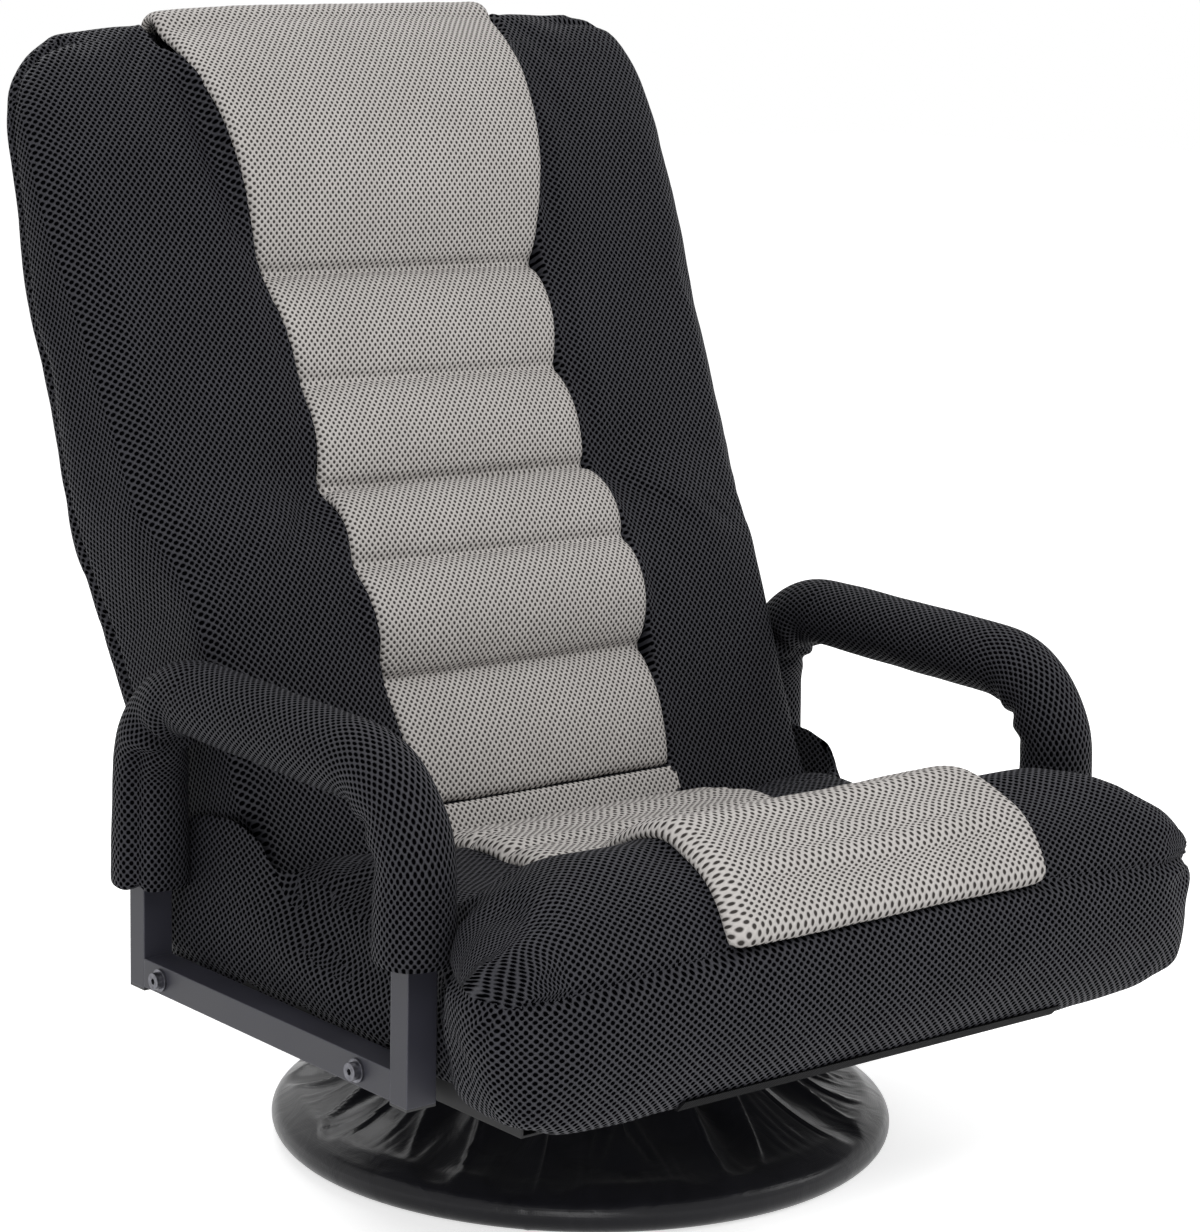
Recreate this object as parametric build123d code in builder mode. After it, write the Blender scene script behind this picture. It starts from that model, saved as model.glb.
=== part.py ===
from build123d import *
import os
from math import cos, pi, radians, sin, tan

os.makedirs("parts", exist_ok=True)

# Swivelling floor chair with a reclining back. The chair faces -Y, the swivel axis is Z and the floor is
# z = 0. The sitter's left is +X. Lengths are millimetres and angles are degrees.

# Base ring, straps and gathered cloth cover
base_diameter = 400.0
ring_tube = 20.0
cover_cloth = 1.6
cover_ease = 0.4
cover_flat = 0.5
cover_hem_angle = 205.0
cover_slope = 27.0
cover_band = 3.0
cover_neck_radius = 112.0
cover_gathers = 20
cover_gather_depth = 7.0
cover_gather_start = 0.3
strap_width = 30.0
strap_thickness = 5.0
strap_bend = 18.0
strap_foot = 26.0
hub_height = 91.0
hub_plate_size = 130.0
hub_plate_thickness = 4.0
plate_corner = 14.0

# Swivel bearing
swivel_plate_thickness = 2.5
swivel_gap = 10.5
race_radius = 44.0
race_width = 16.0
race_split = 2.5
ball_diameter = 8.0
ball_play = 0.1
ball_count = 8
rivet_diameter = 16.0
rivet_flange = 26.0
rivet_flange_thickness = 1.8
rivet_play = 0.05
flange_play = 0.3
plate_bolt_span = 100.0

# Machine bolts, nuts and washers
bolt_diameter = 6.0
bolt_head_diameter = 10.5
bolt_head_height = 4.0
bolt_socket = 4.0
bolt_socket_depth = 2.4
washer_diameter = 14.0
washer_thickness = 1.5
nut_width = 10.0
nut_thickness = 5.0
nut_corner = 1.2
hole_play = 0.1

# Seat frame of rectangular steel tube
tube_wall = 1.5
rail_width = 12.0
rail_depth = 25.0
rail_inner_half = 226.0
rail_front = -240.0
rail_rear = 95.0
rear_tube_y = -22.0
swivel_bar_width = 25.0
swivel_bar_height = 8.0
webbing_width = 50.0
webbing_thickness = 1.5
webbing_pitch = 110.0
webbing_count = 3

# Arm loops
arm_outer_half = 265.5
arm_tube_width = 20.0
arm_tube_depth = 16.0
arm_front = -164.6
arm_rear = 110.0
arm_height_front = 296.0
arm_height_rear = 304.0
arm_bend = 58.0
arm_rail_height = 18.0
arm_leg_drop = 10.0
arm_bolt_front = -125.0
arm_bolt_rear = 83.0
arm_pad_diameter = 48.0
arm_pad_front_end = 196.0
arm_pad_rear_end = 178.0
arm_pad_round = 5.0
arm_pad_ease = 0.2
plug_flange = 1.5
plug_depth = 8.0
plug_play = 0.1
spacer_diameter = 14.0
spacer_play = 0.3

# Recline hinge
pivot_y = 49.0
pivot_z = 159.0
recline_angle = 26.2
hinge_plate = 3.0
hinge_gap = 0.3
hinge_boss = 40.0
hinge_foot_width = 54.0
hinge_foot_height = 22.0
pin_diameter = 10.0
pin_head = 16.0
pin_head_height = 2.6
pin_play = 0.05
back_plate_tip = 22.0
back_plate_reach = 96.0
back_bolt_low = 72.0
back_bolt_high = 88.0

# Back frame
back_frame_top = 478.0
back_frame_bend = 46.0
back_frame_start = 24.0
back_bar_low = 112.0
back_bar_high = 330.0

# Seat cushion and its grey centre panel
seat_bottom = 113.5
seat_half = 243.0
seat_bulge_height = 147.0
seat_bottom_half = 236.0
seat_shoulder_half = 229.0
seat_shoulder_height = 188.0
seat_edge_half = 208.0
seat_edge_height = 209.0
seat_dish_height = 197.0
wing_radius = 60.0
wing_rear = 95.0
wing_thickness = 12.0
wing_corner = 14.0
wing_round = 6.0
lobe_overhang = 16.5
lobe_rear_half = 252.0
lobe_rear = -191.0
lobe_round = 40.0
lobe_foot_inset = 70.0
lobe_hip_inset = 16.0
lobe_hip_rise = 28.0
lobe_wide_height = 178.0
lobe_cheek_inset = 3.0
lobe_cheek_height = 201.0
lobe_brow_inset = 20.0
lobe_brow_height = 222.0
lobe_crown_inset = 42.0
lobe_crown_fall = 15.0
lobe_top_inset = 90.0
lobe_top_fall = 4.0
front_bow = 6.0
nose_tuck = 26.0
roll_forward = 10.0
roll_fullness = 0.77
crest_fall = 0.3
ramp_sag = 0.68
nose_y = -288.0
nose_height = 160.0
seam_y = -279.0
seam_height = 207.0
crest_y = -226.0
crest_height = 250.5
ramp_y = -162.0
ramp_height = 226.0
dish_front_y = -104.0
seat_panel_half_rear = 106.0
seat_panel_half_front = 122.0
seat_panel_proud = 3.0
seat_panel_depth = 10.0
seat_channel_count = 3
seat_channel_pitch = 38.0
seat_channel_swell = 3.5
zip_length = 300.0
zip_width = 7.0
zip_thickness = 1.2
zip_low = 2.0

# Back cushion and its grey centre panel
back_roll = 36.0
back_step = 64.0
back_round_front = 22.0
back_round_rear = 16.0
back_panel_rear = 6.0
soft_clear = 0.3
roll_clear = 1.0
roll_proud = 11.6

# Back cushion sections: height up the back, half width, front depth, rear depth
back_sections = [
    (back_step, 229.0, -roll_proud, 84.0),
    (130.0, 229.0, -19.0, 104.0),
    (200.0, 231.0, -22.0, 108.0),
    (263.0, 244.0, -8.0, 91.0),
    (345.0, 250.0, -8.0, 74.0),
    (430.0, 256.0, -9.0, 56.0),
    (500.0, 259.0, -12.0, 42.0),
    (545.0, 260.0, -8.0, 33.0),
    (570.0, 254.0, -1.0, 31.0),
    (586.0, 240.0, 5.0, 28.0),
    (595.0, 215.0, 11.0, 24.0),
]
back_corner_share = 0.45

# Grooves of the grey back panel: height up the back, depth, half width, swell of the pad above it
back_grooves = [
    (46.0, -10.0, 104.0, 9.0),
    (131.5, -8.0, 109.0, 17.0),
    (205.5, -18.0, 113.0, 14.0),
    (262.0, 0.0, 109.6, 11.0),
    (333.0, -3.0, 106.5, 12.0),
    (410.0, 2.0, 114.5, 33.0),
    (586.0, 2.0, 139.0, 0.0),
]
head_top = 612.0
head_rear_depth = 38.0
head_rear_fall = 8.0
head_rear_end = 548.0
head_cap = 11.0


def keep(part, name):
    part.label = name
    export_step(part, f"parts/{name}.step")


def keep_pair(part, name):
    with BuildPart() as twin:
        mirror(part, about=Plane.YZ)
    keep(part, f"{name}_left")
    keep(twin.part, f"{name}_right")


# Worked-out places of the base
cover_inner = ring_tube / 2 + cover_ease
cover_outer = cover_inner + cover_cloth
ring_radius = base_diameter / 2 - cover_outer
ring_height = cover_outer - cover_flat
hub_top = hub_height + hub_plate_thickness
lower_plate_top = hub_top + swivel_plate_thickness
upper_plate_bottom = lower_plate_top + swivel_gap
upper_plate_top = upper_plate_bottom + swivel_plate_thickness
frame_bottom = upper_plate_top
frame_top = frame_bottom + rail_depth
rail_z = (frame_bottom + frame_top) / 2
rail_outer_half = rail_inner_half + rail_width
seat_rear = pivot_y - back_roll - roll_clear
hole = bolt_diameter + 2 * hole_play

# Base ring: one bent steel tube
with BuildPart() as base_ring:
    with BuildSketch(Plane.XZ):
        with Locations((ring_radius, ring_height)):
            Circle(ring_tube / 2)
            Circle(ring_tube / 2 - tube_wall, mode=Mode.SUBTRACT)
    revolve(axis=Axis.Z)
keep(base_ring.part, "base_ring")

# Base straps: four bent flat bars from the ring up to the hub plate
with BuildPart() as base_strap:
    with BuildSketch(Plane.XZ):
        with BuildLine() as strap_line:
            FilletPolyline(
                (0, hub_height - strap_thickness / 2),
                (hub_plate_size / 2, hub_height - strap_thickness / 2),
                (ring_radius - ring_tube / 2 - strap_foot, ring_height),
                (ring_radius, ring_height),
                radius=strap_bend,
            )
        trace(strap_line.edges(), strap_thickness)
    extrude(amount=strap_width / 2, both=True)

with BuildPart() as base_straps:
    with PolarLocations(0, 4):
        add(base_strap.part)
    with Locations((0, 0, ring_height)):
        Torus(ring_radius, ring_tube / 2, mode=Mode.SUBTRACT)
keep(base_straps.part, "base_straps")


def bearing_plate(bottom, thickness):
    with BuildPart() as plate:
        with BuildSketch(Plane.XY.offset(bottom)):
            RectangleRounded(hub_plate_size, hub_plate_size, plate_corner)
            with GridLocations(plate_bolt_span, plate_bolt_span, 2, 2):
                Circle(hole / 2, mode=Mode.SUBTRACT)
        extrude(amount=thickness)
    return plate.part


# Hub plate, welded on the straps, with a hole round the foot of the centre rivet
with BuildPart() as hub_plate:
    add(bearing_plate(hub_height, hub_plate_thickness))
    with Locations((0, 0, hub_height)):
        Cylinder(
            rivet_flange / 2 + flange_play,
            hub_plate_thickness,
            align=(Align.CENTER, Align.CENTER, Align.MIN),
            mode=Mode.SUBTRACT,
        )
keep(hub_plate.part, "base_hub_plate")

# Swivel plates with pressed races and the balls between them
ball_z = (lower_plate_top + upper_plate_bottom) / 2
race_height = (swivel_gap - race_split) / 2


def race_plate(plate_bottom, race_bottom, centre_hole):
    with BuildPart() as plate:
        add(bearing_plate(plate_bottom, swivel_plate_thickness))
        with BuildSketch(Plane.XY.offset(race_bottom)):
            Circle(race_radius + race_width / 2)
            Circle(race_radius - race_width / 2, mode=Mode.SUBTRACT)
        extrude(amount=race_height)
        with Locations((0, 0, ball_z)):
            Torus(race_radius, ball_diameter / 2 + ball_play, mode=Mode.SUBTRACT)
        with Locations((0, 0, plate_bottom)):
            Cylinder(
                centre_hole / 2,
                swivel_plate_thickness,
                align=(Align.CENTER, Align.CENTER, Align.MIN),
                mode=Mode.SUBTRACT,
            )
    return plate.part


lower_plate = race_plate(hub_top, lower_plate_top, rivet_diameter)
keep(lower_plate, "swivel_lower_plate")
upper_plate = race_plate(
    upper_plate_bottom, upper_plate_bottom - race_height, rivet_diameter + 2 * rivet_play
)
keep(upper_plate, "swivel_upper_plate")

with BuildPart() as swivel_balls:
    with Locations((0, 0, ball_z)):
        with PolarLocations(race_radius, ball_count):
            Sphere(ball_diameter / 2)
keep(swivel_balls.part, "swivel_balls")

# Centre rivet: fast in the lower plate, with its flared head over the upper plate
rivet_head = upper_plate_top + flange_play
with BuildPart() as swivel_rivet:
    with BuildSketch(Plane.XZ):
        with BuildLine():
            Polyline(
                (0, hub_top - rivet_flange_thickness),
                (rivet_flange / 2, hub_top - rivet_flange_thickness),
                (rivet_flange / 2, hub_top),
                (rivet_diameter / 2, hub_top),
                (rivet_diameter / 2, rivet_head),
                (rivet_flange / 2, rivet_head),
                (rivet_flange / 2, rivet_head + rivet_flange_thickness),
                (0, rivet_head + rivet_flange_thickness),
                close=True,
            )
        make_face()
    revolve(axis=Axis.Z)
keep(swivel_rivet.part, "swivel_rivet")


def bolt_row(head_plane, places, length):
    # Socket-head bolts: each head stands on the plane and the shank runs back behind it
    with BuildPart() as bolts:
        with BuildSketch(head_plane):
            with Locations(*places):
                Circle(bolt_head_diameter / 2)
        extrude(amount=bolt_head_height)
        with BuildSketch(head_plane):
            with Locations(*places):
                Circle(bolt_diameter / 2)
        extrude(amount=-length)
        with BuildSketch(head_plane.offset(bolt_head_height)):
            with Locations(*places):
                RegularPolygon(bolt_socket / 2, 6)
        extrude(amount=-bolt_socket_depth, mode=Mode.SUBTRACT)
    return bolts.part


def nut_row(seat_plane, places):
    with BuildPart() as nuts:
        with BuildSketch(seat_plane):
            with Locations(*places):
                RegularPolygon(nut_width / 2, 6, major_radius=False)
                Circle(hole / 2, mode=Mode.SUBTRACT)
        extrude(amount=nut_thickness)
    return nuts.part


bolt_corners = [
    (x * plate_bolt_span / 2, y * plate_bolt_span / 2) for x in (-1, 1) for y in (-1, 1)
]
base_bolts = bolt_row(
    Plane.XY.offset(lower_plate_top),
    bolt_corners,
    swivel_plate_thickness + hub_plate_thickness + nut_thickness,
)
keep(base_bolts, "base_plate_bolts")
keep(nut_row(Plane(origin=(0, 0, hub_height), z_dir=(0, 0, -1)), bolt_corners), "base_plate_nuts")
seat_bolts = bolt_row(
    Plane(origin=(0, 0, upper_plate_bottom), z_dir=(0, 0, -1)),
    bolt_corners,
    swivel_plate_thickness + swivel_bar_height,
)
keep(seat_bolts, "swivel_plate_bolts")

# Cloth cover: a smooth band drawn round the ring, then gathers that deepen towards the neck
slope = radians(cover_slope)
band_top = ring_height + cover_outer + cover_band


def band_point(radius, angle):
    return (ring_radius + radius * cos(angle), ring_height + radius * sin(angle))


def slope_radius(radius):
    start = band_point(radius, pi / 2 - slope)
    return start[0] - (band_top - start[1]) / tan(slope)


hem = radians(cover_hem_angle) - 2 * pi
brow = pi / 2 - slope
halfway = (hem + brow) / 2
band_outer = slope_radius(cover_outer)
band_inner = slope_radius(cover_inner)
neck_height = band_top + (band_outer - cover_neck_radius) * tan(slope)


def gather_ring(height, radius, depth):
    step = pi / cover_gathers
    with BuildSketch(Plane.XY.offset(height)) as ring:
        with BuildLine():
            for i in range(2 * cover_gathers):
                crown = radius + (depth if i % 2 == 0 else -depth)
                middle = i * step + step / 2
                ThreePointArc(
                    (radius * cos(i * step), radius * sin(i * step)),
                    (crown * cos(middle), crown * sin(middle)),
                    (radius * cos((i + 1) * step), radius * sin((i + 1) * step)),
                )
        make_face()
    return ring.sketch


with BuildPart() as base_cover:
    with BuildSketch(Plane.XZ):
        with BuildLine():
            arc_points = [hem, (hem + halfway) / 2, halfway, (halfway + brow) / 2, brow]
            outer = [band_point(cover_outer, angle) for angle in arc_points]
            inner = [band_point(cover_inner, angle) for angle in arc_points]
            ThreePointArc(outer[0], outer[1], outer[2])
            ThreePointArc(outer[2], outer[3], outer[4])
            Polyline(outer[4], (band_outer, band_top), (band_inner, band_top), inner[4])
            ThreePointArc(inner[4], inner[3], inner[2])
            ThreePointArc(inner[2], inner[1], inner[0])
            Line(inner[0], outer[0])
        make_face()
    revolve(axis=Axis.Z)
    split(bisect_by=Plane.XY, keep=Keep.TOP)

with BuildPart() as cover_skirt:
    outer_rings = [
        gather_ring(band_top, band_outer, cover_gather_start),
        gather_ring(neck_height, cover_neck_radius, cover_gather_depth),
    ]
    loft(outer_rings, ruled=True)
    cloth_step = band_outer - band_inner
    inner_rings = [
        gather_ring(band_top, band_inner, cover_gather_start),
        gather_ring(neck_height, cover_neck_radius - cloth_step, cover_gather_depth),
    ]
    loft(inner_rings, ruled=True, mode=Mode.SUBTRACT)

with BuildPart() as cover_whole:
    add(base_cover.part)
    add(cover_skirt.part)
keep(cover_whole.part, "base_cover")


def hollow_bar(width, depth, height, corner):
    # Rectangular tube, open at its two ends, along the longest of its three sizes
    inner = [size - 2 * tube_wall for size in (width, depth, height)]
    longest = max(width, depth, height)
    for i, size in enumerate((width, depth, height)):
        if size == longest:
            inner[i] = size
    middle = [at + size / 2 for at, size in zip(corner, (width, depth, height))]
    with BuildPart() as bar:
        with Locations(tuple(middle)):
            Box(width, depth, height)
            Box(*inner, mode=Mode.SUBTRACT)
    return bar.part


def filled_bar(width, depth, height, corner):
    middle = [at + size / 2 for at, size in zip(corner, (width, depth, height))]
    with BuildPart() as bar:
        with Locations(tuple(middle)):
            Box(width, depth, height)
    return bar.part


# Seat frame: two side rails with a front tube, a rear tube and two flat swivel bars between them
rail_size = (rail_width, rail_rear - rail_front, rail_depth)
rail_corner = (rail_inner_half, rail_front, frame_bottom)
seat_plate_face = rail_inner_half - hinge_plate
cross_size = (2 * rail_inner_half, rail_width, rail_depth)
front_corner = (-rail_inner_half, rail_front, frame_bottom)
rear_corner = (-rail_inner_half, rear_tube_y - rail_width / 2, frame_bottom)
arm_bolt_places = [(arm_bolt_front, rail_z), (arm_bolt_rear, rail_z)]
side_plane = Plane(origin=(0, 0, 0), x_dir=(0, 1, 0), z_dir=(1, 0, 0))


def side_holes(diameter, start, length):
    with BuildPart() as holes:
        with BuildSketch(side_plane.offset(start)):
            with Locations(*arm_bolt_places):
                Circle(diameter / 2)
        extrude(amount=length)
    return holes.part


with BuildPart() as seat_rail:
    add(hollow_bar(*rail_size, rail_corner))
    add(side_holes(hole, rail_inner_half, rail_width), mode=Mode.SUBTRACT)
keep_pair(seat_rail.part, "seat_rail")

seat_front_tube = hollow_bar(*cross_size, front_corner)
keep(seat_front_tube, "seat_front_tube")
seat_rear_tube = hollow_bar(*cross_size, rear_corner)
keep(seat_rear_tube, "seat_rear_tube")

with BuildPart() as swivel_bar_blank:
    front_bar = (-plate_bolt_span / 2, rail_inner_half)
    rear_bar = (plate_bolt_span / 2, seat_plate_face)
    for bar_y, bar_half in (front_bar, rear_bar):
        with Locations((0, bar_y, frame_bottom)):
            Box(
                2 * bar_half,
                swivel_bar_width,
                swivel_bar_height,
                align=(Align.CENTER, Align.CENTER, Align.MIN),
            )

with BuildPart() as swivel_bars:
    add(swivel_bar_blank.part)
    with BuildSketch(Plane.XY.offset(frame_bottom)):
        with GridLocations(plate_bolt_span, plate_bolt_span, 2, 2):
            Circle(hole / 2)
    extrude(amount=swivel_bar_height, mode=Mode.SUBTRACT)
keep(swivel_bars.part, "seat_swivel_bars")

webbing_length = rear_tube_y + rail_width / 2 - rail_front
with BuildPart() as seat_webbing:
    with BuildSketch(Plane.XY.offset(frame_top)):
        with Locations((0, rail_front + webbing_length / 2)):
            with GridLocations(webbing_pitch, 0, webbing_count, 1):
                Rectangle(webbing_width, webbing_length)
    extrude(amount=webbing_thickness)
keep(seat_webbing.part, "seat_webbing")

# Arm loops: a bent rectangular tube, a straight rail between its legs, a padded sleeve over the top
arm_x = arm_outer_half - arm_tube_width / 2
arm_foot = rail_z - arm_leg_drop
arm_inner_face = arm_outer_half - arm_tube_width


def arm_path(front_end, rear_end):
    with BuildLine(Plane(origin=(arm_x, 0, 0), x_dir=(0, 1, 0), z_dir=(1, 0, 0))) as path:
        FilletPolyline(
            (arm_front, front_end),
            (arm_front, arm_height_front),
            (arm_rear, arm_height_rear),
            (arm_rear, rear_end),
            radius=arm_bend,
        )
    return path.wires()[0]


def arm_bar(grow):
    with BuildPart() as bar:
        with BuildSketch(Plane(origin=(arm_x, arm_front, arm_foot), x_dir=(1, 0, 0), z_dir=(0, 0, 1))):
            Rectangle(arm_tube_width + 2 * grow, arm_tube_depth + 2 * grow)
        sweep(path=arm_path(arm_foot, arm_foot))
    return bar.part


with BuildPart() as arm_loop:
    add(arm_bar(0))
    add(arm_bar(-tube_wall), mode=Mode.SUBTRACT)
keep_pair(arm_loop.part, "arm_loop")

leg_inner_front = arm_front + arm_tube_depth / 2
leg_inner_rear = arm_rear - arm_tube_depth / 2
with BuildPart() as arm_rail:
    add(
        hollow_bar(
            arm_tube_width,
            leg_inner_rear - leg_inner_front,
            arm_rail_height,
            (arm_inner_face, leg_inner_front, rail_z - arm_rail_height / 2),
        )
    )
    add(side_holes(hole, arm_inner_face, arm_tube_width), mode=Mode.SUBTRACT)
keep_pair(arm_rail.part, "arm_rail")

with BuildPart() as arm_pad:
    with BuildSketch(Plane(origin=(arm_x, arm_front, arm_pad_front_end), x_dir=(1, 0, 0), z_dir=(0, 0, 1))):
        Circle(arm_pad_diameter / 2)
    sweep(path=arm_path(arm_pad_front_end, arm_pad_rear_end))
    fillet(arm_pad.edges().filter_by(GeomType.CIRCLE).group_by(Axis.Z)[:2], arm_pad_round)
    add(arm_bar(arm_pad_ease), mode=Mode.SUBTRACT)
keep_pair(arm_pad.part, "arm_pad")

with BuildPart() as arm_plugs:
    plug_inset = tube_wall + plug_play
    for leg_y in (arm_front, arm_rear):
        with BuildSketch(Plane.XY.offset(arm_foot)):
            with Locations((arm_x, leg_y)):
                Rectangle(arm_tube_width, arm_tube_depth)
        extrude(amount=-plug_flange)
        with BuildSketch(Plane.XY.offset(arm_foot)):
            with Locations((arm_x, leg_y)):
                Rectangle(arm_tube_width - 2 * plug_inset, arm_tube_depth - 2 * plug_inset)
        extrude(amount=plug_depth)
keep_pair(arm_plugs.part, "arm_leg_plugs")

with BuildPart() as arm_washers:
    add(side_holes(washer_diameter, arm_outer_half, washer_thickness))
    add(side_holes(hole, arm_outer_half, washer_thickness), mode=Mode.SUBTRACT)
keep_pair(arm_washers.part, "arm_washers")

bolt_reach = washer_thickness + arm_outer_half - rail_inner_half + nut_thickness
arm_bolts = bolt_row(
    side_plane.offset(arm_outer_half + washer_thickness),
    arm_bolt_places,
    bolt_reach,
)
keep_pair(arm_bolts, "arm_bolts")

with BuildPart() as arm_spacers:
    add(side_holes(spacer_diameter, rail_outer_half, arm_inner_face - rail_outer_half))
    add(side_holes(hole, rail_outer_half, arm_inner_face - rail_outer_half), mode=Mode.SUBTRACT)
keep_pair(arm_spacers.part, "arm_spacers")

inward_plane = Plane(origin=(rail_inner_half, 0, 0), x_dir=(0, -1, 0), z_dir=(-1, 0, 0))
arm_nuts = nut_row(inward_plane, [(-y, z) for y, z in arm_bolt_places])
keep_pair(arm_nuts, "arm_nuts")

# Recline hinge: a plate on each seat rail, a plate on each back tube, a headed pin through both
lean = radians(recline_angle)
up_the_back = Vector(0, sin(lean), cos(lean))
behind_the_back = Vector(0, cos(lean), -sin(lean))
pivot = Vector(0, pivot_y, pivot_z)
pivot_depth = back_roll - roll_proud
back_origin = pivot - behind_the_back * pivot_depth
back_side = Plane(origin=back_origin, x_dir=behind_the_back, z_dir=(1, 0, 0))
back_front = Plane(origin=back_origin, x_dir=(1, 0, 0), z_dir=-behind_the_back)
back_plate_face = seat_plate_face - hinge_gap - hinge_plate
back_low_half = back_plate_face - soft_clear

with BuildPart() as hinge_seat_plate:
    with BuildSketch(side_plane.offset(seat_plate_face)):
        with Locations((pivot_y, pivot_z)):
            Circle(hinge_boss / 2)
        with Locations((pivot_y, rail_z)):
            Rectangle(hinge_foot_width, hinge_foot_height)
        make_hull()
        with Locations((pivot_y, pivot_z)):
            Circle(pin_diameter / 2, mode=Mode.SUBTRACT)
    extrude(amount=hinge_plate)
keep_pair(hinge_seat_plate.part, "hinge_seat_plate")


def back_bolt_holes(diameter, start, length):
    with BuildPart() as holes:
        with BuildSketch(back_side.offset(start)):
            with Locations((pivot_depth, back_bolt_low), (pivot_depth, back_bolt_high)):
                Circle(diameter / 2)
        extrude(amount=length)
    return holes.part


def back_plate_blank(grow):
    with BuildPart() as blank:
        with BuildSketch(back_side.offset(back_plate_face - grow)):
            with Locations((pivot_depth, 0)):
                Circle(hinge_boss / 2 + grow)
            with Locations((pivot_depth, back_plate_reach)):
                Circle(back_plate_tip / 2 + grow)
            make_hull()
        extrude(amount=hinge_plate + 2 * grow)
    return blank.part


with BuildPart() as hinge_back_plate:
    add(back_plate_blank(0))
    with BuildSketch(back_side.offset(back_plate_face)):
        with Locations((pivot_depth, 0)):
            Circle(pin_diameter / 2 + pin_play)
    extrude(amount=hinge_plate, mode=Mode.SUBTRACT)
    add(back_bolt_holes(hole, back_plate_face, hinge_plate), mode=Mode.SUBTRACT)
keep_pair(hinge_back_plate.part, "hinge_back_plate")

pin_inner = back_plate_face - hinge_gap


def pin_shape(grow):
    with BuildPart() as pin:
        for radius, start, length in (
            (pin_head / 2, pin_inner - pin_head_height, pin_head_height),
            (pin_diameter / 2, pin_inner, rail_inner_half - pin_inner),
            (pin_head / 2, rail_inner_half, pin_head_height),
        ):
            with BuildSketch(side_plane.offset(start - grow)):
                with Locations((pivot_y, pivot_z)):
                    Circle(radius + grow)
            extrude(amount=length + 2 * grow)
    return pin.part


keep_pair(pin_shape(0), "hinge_pin")

# Back frame: a loop of rectangular tube with two cross bars
back_tube_half = back_plate_face - rail_width / 2


def back_loop_bar(width, depth):
    with BuildPart() as bar:
        with BuildLine(back_front.offset(-pivot_depth)) as path:
            FilletPolyline(
                (back_tube_half, back_frame_start),
                (back_tube_half, back_frame_top),
                (-back_tube_half, back_frame_top),
                (-back_tube_half, back_frame_start),
                radius=back_frame_bend,
            )
        foot = back_origin + behind_the_back * pivot_depth + up_the_back * back_frame_start
        foot = foot + Vector(back_tube_half, 0, 0)
        with BuildSketch(Plane(origin=foot, x_dir=(1, 0, 0), z_dir=up_the_back)):
            Rectangle(width, depth)
        sweep(path=path.wires()[0])
    return bar.part


bolt_length = hinge_plate + rail_width
with BuildPart() as back_frame:
    add(back_loop_bar(rail_width, rail_depth))
    add(back_loop_bar(rail_width - 2 * tube_wall, rail_depth - 2 * tube_wall), mode=Mode.SUBTRACT)
    for side in (-1, 1):
        start = side * back_plate_face
        add(back_bolt_holes(hole, start, -side * rail_width), mode=Mode.SUBTRACT)
keep(back_frame.part, "back_frame")

back_bolts = bolt_row(
    back_side.offset(back_plate_face + hinge_plate),
    [(pivot_depth, back_bolt_low), (pivot_depth, back_bolt_high)],
    bolt_length,
)
keep_pair(back_bolts, "hinge_bolts")


def back_bars(hollow):
    span = 2 * (back_tube_half - rail_width / 2)
    wall = tube_wall if hollow else 0
    with BuildPart() as bars:
        for height in (back_bar_low, back_bar_high):
            with BuildSketch(back_side.offset(-span / 2)):
                with Locations((pivot_depth, height)):
                    Rectangle(rail_depth, rail_width)
                    if hollow:
                        Rectangle(rail_depth - 2 * wall, rail_width - 2 * wall, mode=Mode.SUBTRACT)
            extrude(amount=span)
    return bars.part


keep(back_bars(True), "back_cross_bars")

# Seat cushion: a dished block between the arms, a ramp up to the front roll and two lobes before the arms
lobe_half = arm_outer_half + lobe_overhang
side_reach = seat_half + rail_width
seat_width_plane = Plane(origin=(0, wing_rear, 0), x_dir=(1, 0, 0), z_dir=(0, -1, 0))


def seat_cross_section(top):
    # Crowned sides that draw in above and below, and a top that dips towards the middle where it has a dish
    with BuildSketch(seat_width_plane) as section:
        with BuildLine():
            for side in (-1, 1):
                ThreePointArc(
                    (side * seat_bottom_half, seat_bottom),
                    (side * seat_half, seat_bulge_height),
                    (side * seat_shoulder_half, seat_shoulder_height),
                )
                if top is None:
                    Line(
                        (side * seat_shoulder_half, seat_shoulder_height),
                        (side * seat_edge_half, seat_edge_height),
                    )
                else:
                    Line((side * seat_shoulder_half, seat_shoulder_height), (side * seat_shoulder_half, top))
            if top is None:
                ThreePointArc(
                    (-seat_edge_half, seat_edge_height),
                    (0, seat_dish_height),
                    (seat_edge_half, seat_edge_height),
                )
            else:
                Line((-seat_shoulder_half, top), (seat_shoulder_half, top))
            Line((-seat_bottom_half, seat_bottom), (seat_bottom_half, seat_bottom))
        make_face()
    return section.sketch


def roll_profile():
    # Side view of the front roll, from the foot of the nose over the crest and down the ramp
    nose_foot = nose_y + nose_tuck
    with BuildSketch(side_plane) as profile:
        with BuildLine():
            ThreePointArc((nose_foot, seat_bottom), (nose_y, nose_height), (seam_y, seam_height))
            over = (seam_y + crest_y) / 2 - roll_forward
            ThreePointArc(
                (seam_y, seam_height),
                (over, seam_height + roll_fullness * (crest_height - seam_height)),
                (crest_y, crest_height),
            )
            ThreePointArc(
                (crest_y, crest_height),
                ((crest_y + ramp_y) / 2, crest_height - crest_fall * (crest_height - ramp_height)),
                (ramp_y, ramp_height),
            )
            ThreePointArc(
                (ramp_y, ramp_height),
                ((ramp_y + dish_front_y) / 2, ramp_height - ramp_sag * (ramp_height - seat_dish_height)),
                (dish_front_y, seat_dish_height),
            )
            Polyline(
                (dish_front_y, seat_dish_height),
                (dish_front_y, seat_bottom),
                (nose_foot, seat_bottom),
            )
        make_face()
    return profile.sketch


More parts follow.
